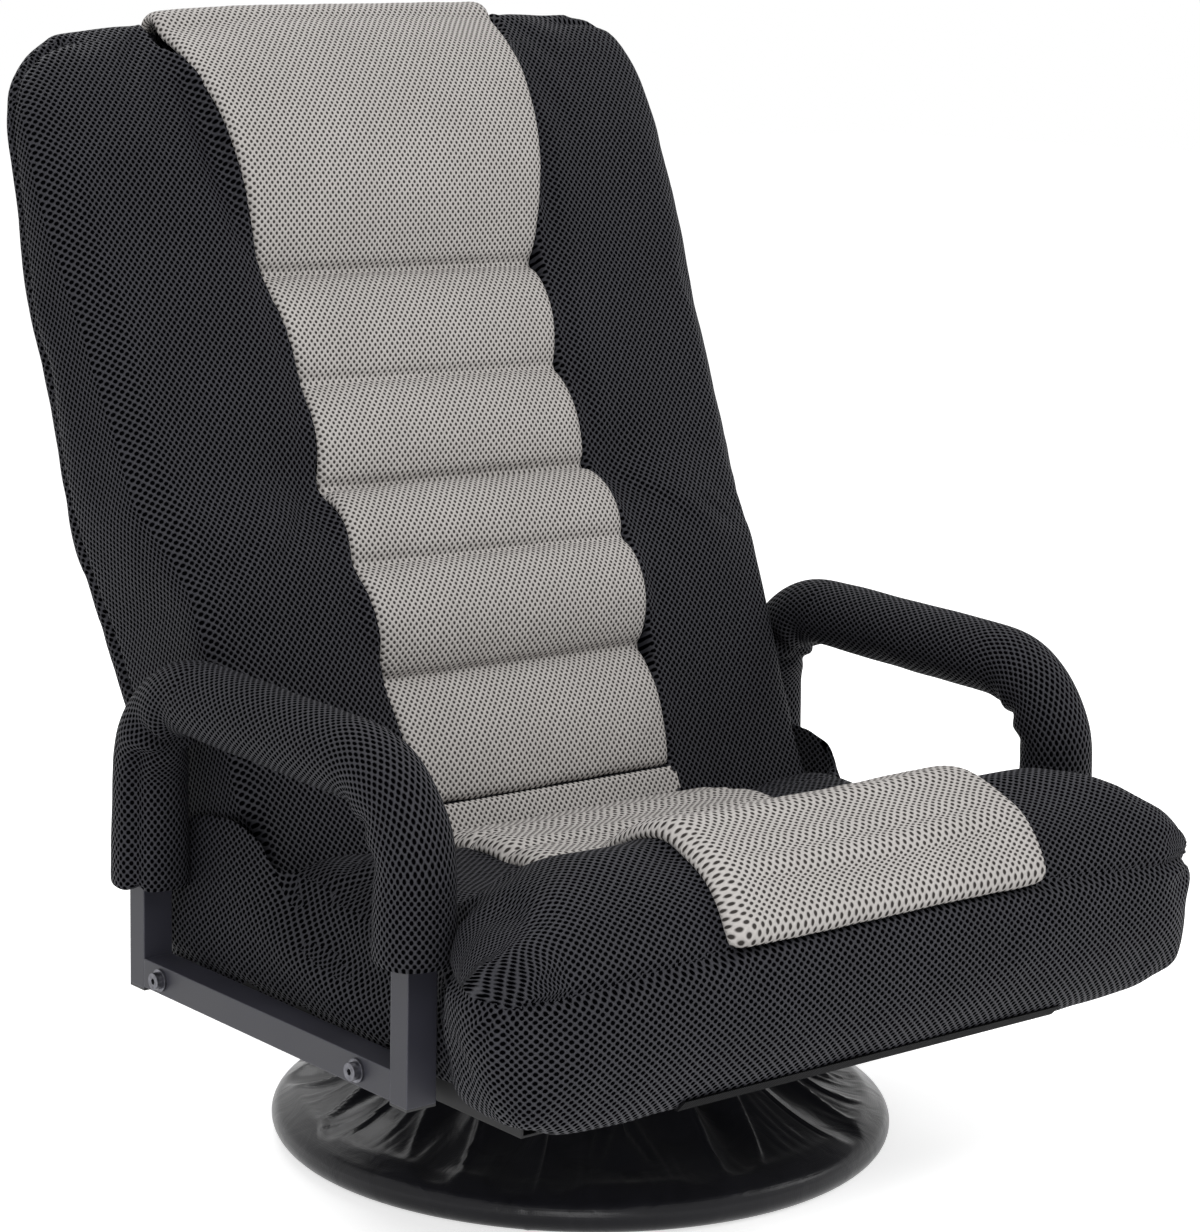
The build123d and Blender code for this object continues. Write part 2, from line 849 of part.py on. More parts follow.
with BuildPart() as seat_ramp:
    extrude(roll_profile(), amount=side_reach, both=True)
    extrude(seat_cross_section(2 * crest_height), amount=wing_rear - nose_y, mode=Mode.INTERSECT)

with BuildPart() as seat_lobes:
    extrude(roll_profile(), amount=lobe_half, both=True)
    with BuildSketch(Plane.XY.offset(seat_bottom)):
        with BuildLine():
            corner_front = nose_y + front_bow
            corner_side = corner_front + lobe_round
            corner_half = lobe_half - lobe_round
            Line((-lobe_rear_half, lobe_rear), (lobe_rear_half, lobe_rear))
            for side in (-1, 1):
                Line((side * lobe_rear_half, lobe_rear), (side * lobe_half, corner_side))
                RadiusArc(
                    (side * lobe_half, corner_side),
                    (side * corner_half, corner_front),
                    side * lobe_round,
                )
            ThreePointArc((-corner_half, corner_front), (0, nose_y), (corner_half, corner_front))
        make_face()
    extrude(amount=crest_height - seat_bottom, mode=Mode.INTERSECT)
    with BuildSketch(seat_width_plane):
        with BuildLine():
            foot_half = lobe_half - lobe_foot_inset
            brow_half = lobe_half - lobe_brow_inset
            top_half = lobe_half - lobe_top_inset
            top_height = crest_height - lobe_top_fall
            for side in (-1, 1):
                ThreePointArc(
                    (side * foot_half, seat_bottom),
                    (side * (lobe_half - lobe_hip_inset), seat_bottom + lobe_hip_rise),
                    (side * lobe_half, lobe_wide_height),
                )
                ThreePointArc(
                    (side * lobe_half, lobe_wide_height),
                    (side * (lobe_half - lobe_cheek_inset), lobe_cheek_height),
                    (side * brow_half, lobe_brow_height),
                )
                ThreePointArc(
                    (side * brow_half, lobe_brow_height),
                    (side * (lobe_half - lobe_crown_inset), crest_height - lobe_crown_fall),
                    (side * top_half, top_height),
                )
            ThreePointArc((-top_half, top_height), (0, crest_height), (top_half, top_height))
            Line((-foot_half, seat_bottom), (foot_half, seat_bottom))
        make_face()
    extrude(amount=wing_rear - nose_y, mode=Mode.INTERSECT)

with BuildSketch() as wing_outline:
    with Locations((pivot_y, pivot_z)):
        Circle(wing_radius)
    with Locations((wing_rear, pivot_z)):
        Rectangle(
            4 * wing_radius,
            4 * wing_radius,
            align=(Align.MAX, Align.CENTER),
            mode=Mode.INTERSECT,
        )
    fillet(wing_outline.vertices().sort_by(Axis.X)[-2:], wing_corner)

with BuildPart() as seat_dish:
    extrude(seat_cross_section(None), amount=wing_rear - ramp_y)
    with BuildSketch(side_plane):
        add(wing_outline.sketch)
        with Locations((ramp_y, seat_bottom)):
            Rectangle(seat_rear - ramp_y, crest_height, align=(Align.MIN, Align.MIN))
    extrude(amount=side_reach, both=True, mode=Mode.INTERSECT)

# Round cheek of the cushion that hides the hinge on one side
with BuildPart() as seat_wing:
    with BuildSketch(side_plane.offset(seat_plate_face)):
        add(wing_outline.sketch)
    extrude(amount=wing_thickness)
    fillet(seat_wing.faces().sort_by(Axis.X)[-1].edges(), wing_round)
    with Locations((0, 0, seat_bottom)):
        Box(
            4 * lobe_half,
            4 * lobe_half,
            2 * crest_height,
            align=(Align.CENTER, Align.CENTER, Align.MIN),
            mode=Mode.INTERSECT,
        )

# Grey seat panel: sewn channels across the dish, then the ramp and the roll down to the front seam
panel_rear_y = seat_rear
panel_front_y = nose_y - seat_panel_proud


def seat_panel_half(y):
    share = (panel_rear_y - y) / (panel_rear_y - nose_y)
    return seat_panel_half_rear + share * (seat_panel_half_front - seat_panel_half_rear)


with BuildPart() as seat_panel:
    with BuildSketch(side_plane):
        with BuildLine():
            top = seat_dish_height + seat_panel_proud
            last_channel = panel_rear_y - seat_channel_count * seat_channel_pitch
            for i in range(seat_channel_count):
                start = panel_rear_y - i * seat_channel_pitch
                ThreePointArc(
                    (start, top),
                    (start - seat_channel_pitch / 2, top + seat_channel_swell),
                    (start - seat_channel_pitch, top),
                )
            Line((last_channel, top), (dish_front_y, top))
            for lift in (seat_panel_proud, -seat_panel_depth):
                lean_in = lift * crest_fall
                ThreePointArc(
                    (dish_front_y, seat_dish_height + lift),
                    (
                        (ramp_y + dish_front_y) / 2 - lean_in,
                        ramp_height - ramp_sag * (ramp_height - seat_dish_height) + lift,
                    ),
                    (ramp_y - lean_in, ramp_height + lift),
                )
                ThreePointArc(
                    (ramp_y - lean_in, ramp_height + lift),
                    (
                        (crest_y + ramp_y) / 2,
                        crest_height - crest_fall * (crest_height - ramp_height) + lift,
                    ),
                    (crest_y, crest_height + lift),
                )
                ThreePointArc(
                    (crest_y, crest_height + lift),
                    (
                        (seam_y + crest_y) / 2 - roll_forward - ramp_sag * lift,
                        seam_height + roll_fullness * (crest_height - seam_height) + ramp_sag * lift,
                    ),
                    (seam_y - lift, seam_height),
                )
            Line((seam_y - seat_panel_proud, seam_height), (seam_y + seat_panel_depth, seam_height))
            Polyline(
                (dish_front_y, seat_dish_height - seat_panel_depth),
                (panel_rear_y, seat_dish_height - seat_panel_depth),
                (panel_rear_y, top),
            )
        make_face()
    extrude(amount=seat_half, both=True)
    with BuildSketch(Plane.XY.offset(seat_bottom)):
        with BuildLine():
            Polyline(
                (-seat_panel_half(panel_rear_y), panel_rear_y),
                (seat_panel_half(panel_rear_y), panel_rear_y),
                (seat_panel_half(panel_front_y), panel_front_y),
                (-seat_panel_half(panel_front_y), panel_front_y),
                close=True,
            )
        make_face()
    extrude(amount=2 * crest_height, mode=Mode.INTERSECT)
keep(seat_panel.part, "seat_center_panel")

# Hollows in the cushion for the rail, the hinge and the arm fastenings of one side
with BuildPart() as seat_pocket:
    add(filled_bar(*rail_size, rail_corner))
    add(hinge_seat_plate.part)
    add(pin_shape(soft_clear))
    add(side_holes(spacer_diameter + 2 * spacer_play, rail_outer_half, lobe_half - rail_outer_half))
    add(side_holes(nut_width * nut_corner, rail_inner_half - nut_thickness, nut_thickness))

with BuildPart() as seat_cushion:
    add(seat_dish.part)
    add(seat_ramp.part)
    add(seat_lobes.part)
    add(seat_wing.part)
    mirror(seat_wing.part, about=Plane.YZ)
    scoop_size = (2 * seat_plate_face, wing_rear - seat_rear, 2 * crest_height)
    add(filled_bar(*scoop_size, (-seat_plate_face, seat_rear, 0)), mode=Mode.SUBTRACT)
    add(filled_bar(*cross_size, front_corner), mode=Mode.SUBTRACT)
    add(filled_bar(*cross_size, rear_corner), mode=Mode.SUBTRACT)
    add(swivel_bar_blank.part, mode=Mode.SUBTRACT)
    add(seat_webbing.part, mode=Mode.SUBTRACT)
    add(seat_panel.part, mode=Mode.SUBTRACT)
    add(seat_pocket.part, mode=Mode.SUBTRACT)
    mirror(seat_pocket.part, about=Plane.YZ, mode=Mode.SUBTRACT)
keep(seat_cushion.part, "seat_cushion")

# Zip low on the front of the seat cover, where the boxing turns under
with BuildPart() as seat_zip:
    with Locations((0, -zip_thickness, -zip_thickness)):
        add(seat_lobes.part)
    with Locations((0, nose_y + nose_tuck, seat_bottom + zip_low)):
        Box(
            zip_length,
            2 * nose_tuck,
            zip_width,
            align=(Align.CENTER, Align.MAX, Align.MIN),
            mode=Mode.INTERSECT,
        )
    add(seat_lobes.part, mode=Mode.SUBTRACT)
keep(seat_zip.part, "seat_zip")

# Grey back panel: padded channels between sewn grooves, then the headrest over the top edge
def back_outline(depth):
    # Waisted outline of the panel, at a given depth behind the groove plane
    left_line = [(half, height) for height, _, half, _ in back_grooves]
    left_line.append((back_grooves[-1][2], head_top))
    right_line = [(-half, height) for half, height in reversed(left_line)]
    with BuildSketch(back_front.offset(-depth)) as outline:
        with BuildLine():
            Polyline(*left_line, *right_line, close=True)
        make_face()
    return outline.sketch


with BuildPart() as back_panel:
    with BuildSketch(back_side):
        with BuildLine():
            for low, high in zip(back_grooves[:-1], back_grooves[1:]):
                middle = ((low[1] + high[1]) / 2 - low[3], (low[0] + high[0]) / 2)
                ThreePointArc((low[1], low[0]), middle, (high[1], high[0]))
            first_groove = back_grooves[0]
            last_groove = back_grooves[-1]
            ThreePointArc(
                (last_groove[1], last_groove[0]),
                ((last_groove[1] + head_rear_depth) / 2, head_top),
                (head_rear_depth, last_groove[0] - head_rear_fall),
            )
            Polyline(
                (head_rear_depth, last_groove[0] - head_rear_fall),
                (head_rear_depth, head_rear_end),
                (head_rear_depth - head_cap, head_rear_end),
                (head_rear_depth - head_cap, last_groove[0] - head_cap),
                (back_panel_rear, last_groove[0] - head_cap),
                (back_panel_rear, first_groove[0]),
                (first_groove[1], first_groove[0]),
            )
        make_face()
    extrude(amount=lobe_half, both=True)
    extrude(back_outline(0), amount=2 * back_roll, both=True, mode=Mode.INTERSECT)
keep(back_panel.part, "back_center_panel")


def back_section(height, half, front, rear):
    thickness = rear - front
    plane = Plane(origin=back_origin + up_the_back * height, x_dir=(1, 0, 0), z_dir=up_the_back)
    with BuildSketch(plane) as section:
        with Locations((0, (front + rear) / 2)):
            Rectangle(2 * half, thickness)
        corners = section.vertices().group_by(Axis.Y)
        fillet(corners[0], min(back_round_front, back_corner_share * thickness))
        corners = section.vertices().group_by(Axis.Y)
        fillet(corners[-1], min(back_round_rear, back_corner_share * thickness))
    return section.sketch


# Back cushion: a roll about the hinge, then sections that follow the padded outline up to the top corners
with BuildPart() as back_roll_block:
    with BuildSketch(back_side):
        with BuildLine():
            front = pivot_depth - back_roll
            rear = pivot_depth + back_roll
            diagonal = back_roll / 2**0.5
            ThreePointArc((front, 0), (pivot_depth - diagonal, -diagonal), (pivot_depth, -back_roll))
            ThreePointArc((pivot_depth, -back_roll), (pivot_depth + diagonal, -diagonal), (rear, 0))
            top = back_step + back_round_front
            Polyline((rear, 0), (rear, top), (front, top), (front, 0))
        make_face()
    extrude(amount=back_low_half, both=True)

with BuildPart() as back_pocket:
    add(back_plate_blank(0))
    add(pin_shape(soft_clear))
    head_room = back_plate_face + hinge_plate
    add(back_bolt_holes(bolt_head_diameter + 2 * soft_clear, head_room, bolt_head_height + soft_clear))

with BuildPart() as back_cushion:
    loft([back_section(*row) for row in back_sections], ruled=True)
    add(back_roll_block.part)
    add(back_loop_bar(rail_width, rail_depth), mode=Mode.SUBTRACT)
    add(back_bars(False), mode=Mode.SUBTRACT)
    add(back_panel.part, mode=Mode.SUBTRACT)
    extrude(back_outline(back_panel_rear), amount=2 * back_roll, mode=Mode.SUBTRACT)
    add(back_pocket.part, mode=Mode.SUBTRACT)
    mirror(back_pocket.part, about=Plane.YZ, mode=Mode.SUBTRACT)
keep(back_cushion.part, "back_cushion")
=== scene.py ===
import math

import bmesh
import bpy
import numpy as np
from mathutils import Matrix, Vector, noise
from mathutils.bvhtree import BVHTree


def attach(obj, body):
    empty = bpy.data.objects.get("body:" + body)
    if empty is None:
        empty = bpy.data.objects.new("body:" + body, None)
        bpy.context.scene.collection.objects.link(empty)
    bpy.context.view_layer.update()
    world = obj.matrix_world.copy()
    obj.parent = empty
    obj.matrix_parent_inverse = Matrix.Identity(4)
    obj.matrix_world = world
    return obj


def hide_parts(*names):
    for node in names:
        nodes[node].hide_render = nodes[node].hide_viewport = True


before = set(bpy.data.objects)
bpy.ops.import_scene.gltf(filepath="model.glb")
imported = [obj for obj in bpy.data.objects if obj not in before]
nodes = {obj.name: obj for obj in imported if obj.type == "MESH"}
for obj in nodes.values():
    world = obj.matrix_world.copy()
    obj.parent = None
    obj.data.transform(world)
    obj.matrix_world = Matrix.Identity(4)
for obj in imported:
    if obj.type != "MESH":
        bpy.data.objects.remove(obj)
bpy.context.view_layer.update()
scene = bpy.context.scene
scene.view_settings.view_transform = "Standard"
mm = 0.001
print("frame loaded with", len(nodes), "nodes")


def toLinear(code):
    parts = [int(code[i:i + 2], 16) / 255 for i in (1, 3, 5)]
    return [c / 12.92 if c <= 0.04045 else ((c + 0.055) / 1.055) ** 2.4 for c in parts] + [1.0]


def wire(tree, node, sockets):
    # Sets each socket, or links it where the value is a node and one of its outputs
    for key, value in sockets.items():
        if isinstance(value, tuple) and hasattr(value[0], "outputs"):
            tree.links.new(value[0].outputs[value[1]], node.inputs[key])
        else:
            node.inputs[key].default_value = value


def addNode(tree, kind, sockets=None, **settings):
    node = tree.nodes.new("ShaderNode" + kind)
    for key, value in settings.items():
        setattr(node, key, value)
    wire(tree, node, sockets or {})
    return node


def newMaterial(name, shader):
    material = bpy.data.materials.new(name)
    material.use_nodes = True
    tree = material.node_tree
    tree.nodes.clear()
    body = addNode(tree, "BsdfPrincipled", shader)
    addNode(tree, "OutputMaterial", {"Surface": (body, "BSDF")})
    return material, tree, body


# Camera at the photographed angle
viewpoint = {
    "place": (-1.2710, -1.5498, 0.7158),
    "right": (0.7739, -0.63293, 0.0216),
    "up": (0.10172, 0.15789, 0.9822),
    "forward": (0.62508, 0.75793, -0.18657),
    "lens": 94.68, "sensor": 36, "reach": 30,
}
cameraData = bpy.data.cameras.new("photoCamera")
cameraData.lens = viewpoint["lens"]
cameraData.sensor_width = viewpoint["sensor"]
cameraData.clip_end = viewpoint["reach"]
photoCamera = bpy.data.objects.new("photoCamera", cameraData)
scene.collection.objects.link(photoCamera)
axes = [Vector(viewpoint["right"]), Vector(viewpoint["up"]), -Vector(viewpoint["forward"])]
turn = Matrix([[axis[row] for axis in axes] for row in range(3)]).to_4x4()
photoCamera.matrix_world = Matrix.Translation(viewpoint["place"]) @ turn
scene.camera = photoCamera

# Soft studio: white sweep, a broad lamp overhead, a softer one on each side and a low one for the base
studio = {
    "worldLight": 0.55,
    "floorColour": "#f4f4f4", "floorGlow": 0.62, "floorReach": 12.0, "floorDrop": 0.0004,
    "lamps": [
        {"place": (-0.9, -1.2, 2.3), "aim": (0, 0, 0.3), "size": 1.5, "power": 30.5},
        {"place": (1.7, -1.3, 1.5), "aim": (0, 0, 0.3), "size": 1.3, "power": 15},
        {"place": (0.2, 1.3, 1.9), "aim": (0, 0, 0.4), "size": 1.2, "power": 14},
        {"place": (-1.0, -1.15, 0.24), "aim": (0, 0, 0.03), "size": 0.7, "power": 5.5},
    ],
}
pureWhite = (1, 1, 1, 1)


def seenDirectly(tree):
    # 1 for what is seen straight, in a gloss or through cloth, 0 for light that only falls on things
    rays = addNode(tree, "LightPath")
    seen = addNode(tree, "Math", {0: (rays, "Is Camera Ray"), 1: (rays, "Is Transmission Ray")},
                   operation="MAXIMUM")
    return addNode(tree, "Math", {0: (seen, 0), 1: (rays, "Is Glossy Ray")}, operation="MAXIMUM")


world = bpy.data.worlds.new("studioWorld")
scene.world = world
world.use_nodes = True
tree = world.node_tree
tree.nodes.clear()
seen = seenDirectly(tree)
soft = addNode(tree, "Background", {"Color": pureWhite, "Strength": studio["worldLight"]})
white = addNode(tree, "Background", {"Color": pureWhite, "Strength": 1.0})
both = addNode(tree, "MixShader", {0: (seen, 0), 1: (soft, 0), 2: (white, 0)})
addNode(tree, "OutputWorld", {"Surface": (both, 0)})
for i, lamp in enumerate(studio["lamps"]):
    lampData = bpy.data.lights.new(f"studioLamp{i}", "AREA")
    lampData.shape = "DISK"
    lampData.size = lamp["size"]
    lampData.energy = lamp["power"]
    lampObject = bpy.data.objects.new(f"studioLamp{i}", lampData)
    scene.collection.objects.link(lampObject)
    lampObject.location = lamp["place"]
    aim = Vector(lamp["aim"]) - Vector(lamp["place"])
    lampObject.rotation_euler = aim.to_track_quat("-Z", "Y").to_euler()

# Painted studio floor: matt white that glows a little to the camera, so that only the contact shadow shows
floorMaterial = bpy.data.materials.new("paintedStudioFloor")
floorMaterial.use_nodes = True
tree = floorMaterial.node_tree
tree.nodes.clear()
seen = seenDirectly(tree)
glowLevel = addNode(tree, "Math", {0: (seen, 0), 1: studio["floorGlow"]}, operation="MULTIPLY")
paint = addNode(tree, "BsdfDiffuse", {"Color": toLinear(studio["floorColour"])})
glow = addNode(tree, "Emission", {"Color": pureWhite, "Strength": (glowLevel, 0)})
litFloor = addNode(tree, "AddShader", {0: (paint, 0), 1: (glow, 0)})
addNode(tree, "OutputMaterial", {"Surface": (litFloor, 0)})
floorMesh = bpy.data.meshes.new("studioFloor")
reach = studio["floorReach"]
corners = [(u * reach, v * reach, 0) for u, v in ((-1, -1), (1, -1), (1, 1), (-1, 1))]
floorMesh.from_pydata(corners, [], [(0, 1, 2, 3)])
floorMesh.materials.append(floorMaterial)
studioFloor = bpy.data.objects.new("studioFloor", floorMesh)
studioFloor.location.z = -studio["floorDrop"]
scene.collection.objects.link(studioFloor)
print("camera, lamps and floor ready")


# Air mesh, a warp-knitted polyester spacer fabric: staggered oval holes in a soft matt yarn
# that sheens at its edges
def airMesh(name, look):
    material, tree, body = newMaterial(name, {
        "Roughness": look["roughness"],
        "Sheen Roughness": 0.45,
        "Sheen Tint": toLinear(look["sheenTint"]),
    })
    weave = addNode(tree, "Attribute", attribute_name="weave")  # millimetres along the cloth
    drift = addNode(tree, "TexNoise", {
        "Vector": (weave, "Vector"), "Scale": 1 / look["driftSize"], "Detail": 2.0}, noise_dimensions="2D")
    centred = addNode(tree, "VectorMath", {0: (drift, "Color"), 1: (0.5, 0.5, 0.5)}, operation="SUBTRACT")
    moved = addNode(tree, "VectorMath", {0: (centred, 0), 1: (look["drift"],) * 3, 2: (weave, "Vector")},
                    operation="MULTIPLY_ADD")
    root2 = math.sqrt(2)
    lattice = addNode(tree, "Mapping", {
        "Vector": (moved, 0),
        "Rotation": (0, 0, math.pi / 4),
        "Scale": (root2 / look["pitch"][0], root2 / look["pitch"][1], 1),
    })
    cell = addNode(tree, "TexVoronoi", {"Vector": (lattice, 0), "Scale": 1.0, "Randomness": 0.06},
                   voronoi_dimensions="2D")
    hole = addNode(tree, "MapRange", {
        "Value": (cell, "Distance"), "From Min": look["holeIn"], "From Max": look["holeOut"],
        "To Min": 1.0, "To Max": 0.0}, interpolation_type="SMOOTHSTEP")
    place = addNode(tree, "TexCoord")
    blotch = addNode(tree, "TexNoise", {
        "Vector": (place, "Object"), "Scale": 1 / (look["blotch"] * mm), "Detail": 3.0})
    fibre = addNode(tree, "TexNoise", {
        "Vector": (moved, 0), "Scale": 1 / look["fibre"], "Detail": 2.0},
        noise_dimensions="2D")  # yarn is 0.3 mm, drawn coarser to show
    tone = addNode(tree, "Mix", {"Factor": 0.6, 2: (blotch, "Fac"), 3: (fibre, "Fac")}, data_type="FLOAT")
    yarn = addNode(tree, "Mix", {
        "Factor": (tone, 0), 6: toLinear(look["yarnDark"]), 7: toLinear(look["yarnLight"])}, data_type="RGBA")
    colour = addNode(tree, "Mix", {
        "Factor": (hole, 0), 6: (yarn, 2), 7: toLinear(look["hole"])}, data_type="RGBA")
    dip = addNode(tree, "MapRange", {
        "Value": (cell, "Distance"), "From Min": 0.12, "From Max": 0.62, "To Min": 0.0, "To Max": 1.0},
        interpolation_type="SMOOTHSTEP")
    height = addNode(tree, "Math", {0: (fibre, "Fac"), 1: 0.25, 2: (dip, 0)}, operation="MULTIPLY_ADD")
    bump = addNode(tree, "Bump", {"Height": (height, 0), "Strength": look["bump"], "Distance": 0.9 * mm})
    for socket, level in (("Specular IOR Level", look["shine"]), ("Sheen Weight", look["sheen"])):
        kept = addNode(tree, "MapRange", {"Value": (hole, 0), "To Min": level, "To Max": 0.0})
        wire(tree, body, {socket: (kept, 0)})  # no shine from inside the holes
    wire(tree, body, {"Base Color": (colour, 2), "Normal": (bump, 0)})
    return material


blackMeshLook = {
    "yarnDark": "#1c1c1f", "yarnLight": "#37373d", "hole": "#020203", "sheenTint": "#8a8c96",
    "roughness": 0.66, "shine": 0.24, "sheen": 0.06, "bump": 0.9, "blotch": 55.0, "fibre": 1.3,
    "pitch": (4.4, 5.0), "holeIn": 0.27, "holeOut": 0.50, "drift": 0.9, "driftSize": 24.0,
}
greyMeshLook = {
    "yarnDark": "#9a9693", "yarnLight": "#bfbbb8", "hole": "#373432", "sheenTint": "#ffffff",
    "roughness": 0.72, "shine": 0.22, "sheen": 0.06, "bump": 0.7, "blotch": 55.0, "fibre": 1.3,
    "pitch": (4.4, 5.0), "holeIn": 0.20, "holeOut": 0.42, "drift": 0.7, "driftSize": 24.0,
}
seatPitch = (5.6, 4.65)  # the seat's cloth is stretched crosswise
blackMesh = airMesh("blackAirMesh", blackMeshLook)
greyMesh = airMesh("greyAirMesh", greyMeshLook)
blackSeatMesh = airMesh("blackSeatAirMesh", dict(blackMeshLook, pitch=seatPitch))
greySeatMesh = airMesh("greySeatAirMesh", dict(greyMeshLook, pitch=seatPitch))


# Nylon taffeta of the base cover: tight plain weave with a soft shine that streaks along the gathers, and a
# painted highlight: paler colour on the crease ridges
coverLook = {
    "cloth": "#0e0e11", "creaseRidgeHighlight": "#1c1c21", "roughness": 0.28, "shine": 0.22, "sheen": 0.06,
    "thread": 1.5, "crease": 26.0,
}
coverNylon, tree, body = newMaterial("blackNylonTaffeta", {
    "Roughness": coverLook["roughness"], "Specular IOR Level": coverLook["shine"],
    "Sheen Weight": coverLook["sheen"], "Sheen Roughness": 0.5})
weave = addNode(tree, "Attribute", attribute_name="weave")
warp, weft = (addNode(tree, "TexWave", {
    "Vector": (weave, "Vector"), "Scale": math.pi / 10 / coverLook["thread"], "Distortion": 0.4},
    bands_direction=way) for way in "XY")  # real thread is 0.3 mm, drawn at 1.5 mm to show
threads = addNode(tree, "Math", {0: (warp, "Fac"), 1: (weft, "Fac")}, operation="MULTIPLY")
crease = addNode(tree, "TexNoise", {
    "Vector": (weave, "Vector"), "Scale": 1 / coverLook["crease"], "Detail": 4.0, "Distortion": 0.7},
    noise_dimensions="2D")
creaseDip = addNode(tree, "Bump", {"Height": (crease, "Fac"), "Strength": 0.35, "Distance": 2.0 * mm})
threadDip = addNode(tree, "Bump", {
    "Height": (threads, 0), "Strength": 0.12, "Distance": 0.3 * mm, "Normal": (creaseDip, 0)})
# Painted highlight: the colour turns paler where the crease bump is high
tone = addNode(tree, "Mix", {
    "Factor": (crease, "Fac"), 6: toLinear(coverLook["cloth"]), 7: toLinear(coverLook["creaseRidgeHighlight"])},
    data_type="RGBA")
wire(tree, body, {"Base Color": (tone, 2), "Normal": (threadDip, 0)})


# Powder coat on mild steel tube: fine orange peel, and rounded edges that catch the light, with a painted
# highlight that makes the colour a little paler along them
def powderCoat(name, look):
    material, tree, body = newMaterial(name, {"Specular IOR Level": 0.32})
    place = addNode(tree, "TexCoord")
    peel = addNode(tree, "TexNoise", {
        "Vector": (place, "Object"), "Scale": 1 / (look["peel"] * mm), "Detail": 2.0})
    patch = addNode(tree, "TexNoise", {
        "Vector": (place, "Object"), "Scale": 1 / (look["patch"] * mm), "Detail": 4.0})
    rounded = addNode(tree, "Bevel", {"Radius": look["edge"] * mm}, samples=4)
    flat = addNode(tree, "NewGeometry")
    facing = addNode(tree, "VectorMath", {0: (rounded, 0), 1: (flat, "True Normal")}, operation="DOT_PRODUCT")
    # Painted highlight: paler colour where the rounded edge turns away from the flat face
    paintedEdgeShare = addNode(tree, "MapRange", {
        "Value": (facing, "Value"), "From Min": 0.98, "From Max": 0.86, "To Min": 0.0, "To Max": look["paintedEdgeShare"]})
    tone = addNode(tree, "Mix", {
        "Factor": (patch, "Fac"), 6: toLinear(look["dark"]), 7: toLinear(look["light"])}, data_type="RGBA")
    paintedEdgeHighlight = addNode(tree, "Mix", {
        "Factor": (paintedEdgeShare, 0), 6: (tone, 2), 7: toLinear(look["paintedEdgeHighlight"])}, data_type="RGBA")
    gloss = addNode(tree, "MapRange", {
        "Value": (patch, "Fac"), "To Min": look["roughness"] - 0.06, "To Max": look["roughness"] + 0.08})
    bump = addNode(tree, "Bump", {
        "Height": (peel, "Fac"), "Strength": 0.25, "Distance": 0.12 * mm, "Normal": (rounded, 0)})
    wire(tree, body, {"Base Color": (paintedEdgeHighlight, 2), "Roughness": (gloss, 0), "Normal": (bump, 0)})
    return material


framePaint = powderCoat("graphitePowderCoat", {
    "dark": "#232329", "light": "#2d2d35", "paintedEdgeHighlight": "#60606a", "paintedEdgeShare": 0.5,
    "peel": 1.3, "patch": 40, "edge": 1.4, "roughness": 0.42})
innerPaint = powderCoat("blackPowderCoat", {
    "dark": "#0b0b0c", "light": "#121214", "paintedEdgeHighlight": "#2c2c30", "paintedEdgeShare": 0.4,
    "peel": 1.3, "patch": 40, "edge": 1.0, "roughness": 0.58})


# Steel: plated and brushed or turned, so the gloss varies in fine lines
def plainSteel(name, look):
    material, tree, body = newMaterial(name, {"Metallic": 1.0})
    place = addNode(tree, "TexCoord")
    grit = addNode(tree, "TexNoise", {
        "Vector": (place, "Object"), "Scale": 1 / (look["grit"] * mm), "Detail": 3.0})
    spangle = addNode(tree, "TexVoronoi", {"Vector": (place, "Object"), "Scale": 1 / (look["spangle"] * mm)})
    tone = addNode(tree, "Mix", {
        "Factor": (spangle, "Distance"), 6: toLinear(look["dark"]), 7: toLinear(look["light"])},
        data_type="RGBA")
    gloss = addNode(tree, "MapRange", {
        "Value": (grit, "Fac"), "To Min": look["roughness"] - 0.08, "To Max": look["roughness"] + 0.12})
    rounded = addNode(tree, "Bevel", {"Radius": 0.5 * mm}, samples=4)
    bump = addNode(tree, "Bump", {
        "Height": (grit, "Fac"), "Strength": 0.2, "Distance": 0.08 * mm, "Normal": (rounded, 0)})
    wire(tree, body, {"Base Color": (tone, 2), "Roughness": (gloss, 0), "Normal": (bump, 0)})
    return material


boltSteel = plainSteel("darkZincBoltSteel", {
    "dark": "#4a4a4f", "light": "#707076", "grit": 0.6, "spangle": 3.0, "roughness": 0.34})
zincSteel = plainSteel("zincPlatedSheetSteel", {
    "dark": "#9a9da0", "light": "#c4c7c9", "grit": 0.8, "spangle": 6.0, "roughness": 0.34})
bearingSteel = plainSteel("polishedBearingSteel", {
    "dark": "#b9bbbd", "light": "#d9dadb", "grit": 0.4, "spangle": 4.0, "roughness": 0.18})


# Moulded polypropylene plug: satin with a fine spark texture from the mould
plugLook = {"dark": "#141416", "light": "#202022", "spark": 0.9, "roughness": 0.5, "ior": 1.49}
plugPlastic, tree, body = newMaterial("blackMouldedPlug", {
    "Roughness": plugLook["roughness"], "IOR": plugLook["ior"]})
place = addNode(tree, "TexCoord")
spark = addNode(tree, "TexNoise", {
    "Vector": (place, "Object"), "Scale": 1 / (plugLook["spark"] * mm), "Detail": 3.0})
tone = addNode(tree, "Mix", {
    "Factor": (spark, "Fac"), 6: toLinear(plugLook["dark"]), 7: toLinear(plugLook["light"])},
    data_type="RGBA")
rounded = addNode(tree, "Bevel", {"Radius": 0.4 * mm}, samples=4)
bump = addNode(tree, "Bump", {
    "Height": (spark, "Fac"), "Strength": 0.3, "Distance": 0.1 * mm, "Normal": (rounded, 0)})
wire(tree, body, {"Base Color": (tone, 2), "Normal": (bump, 0)})
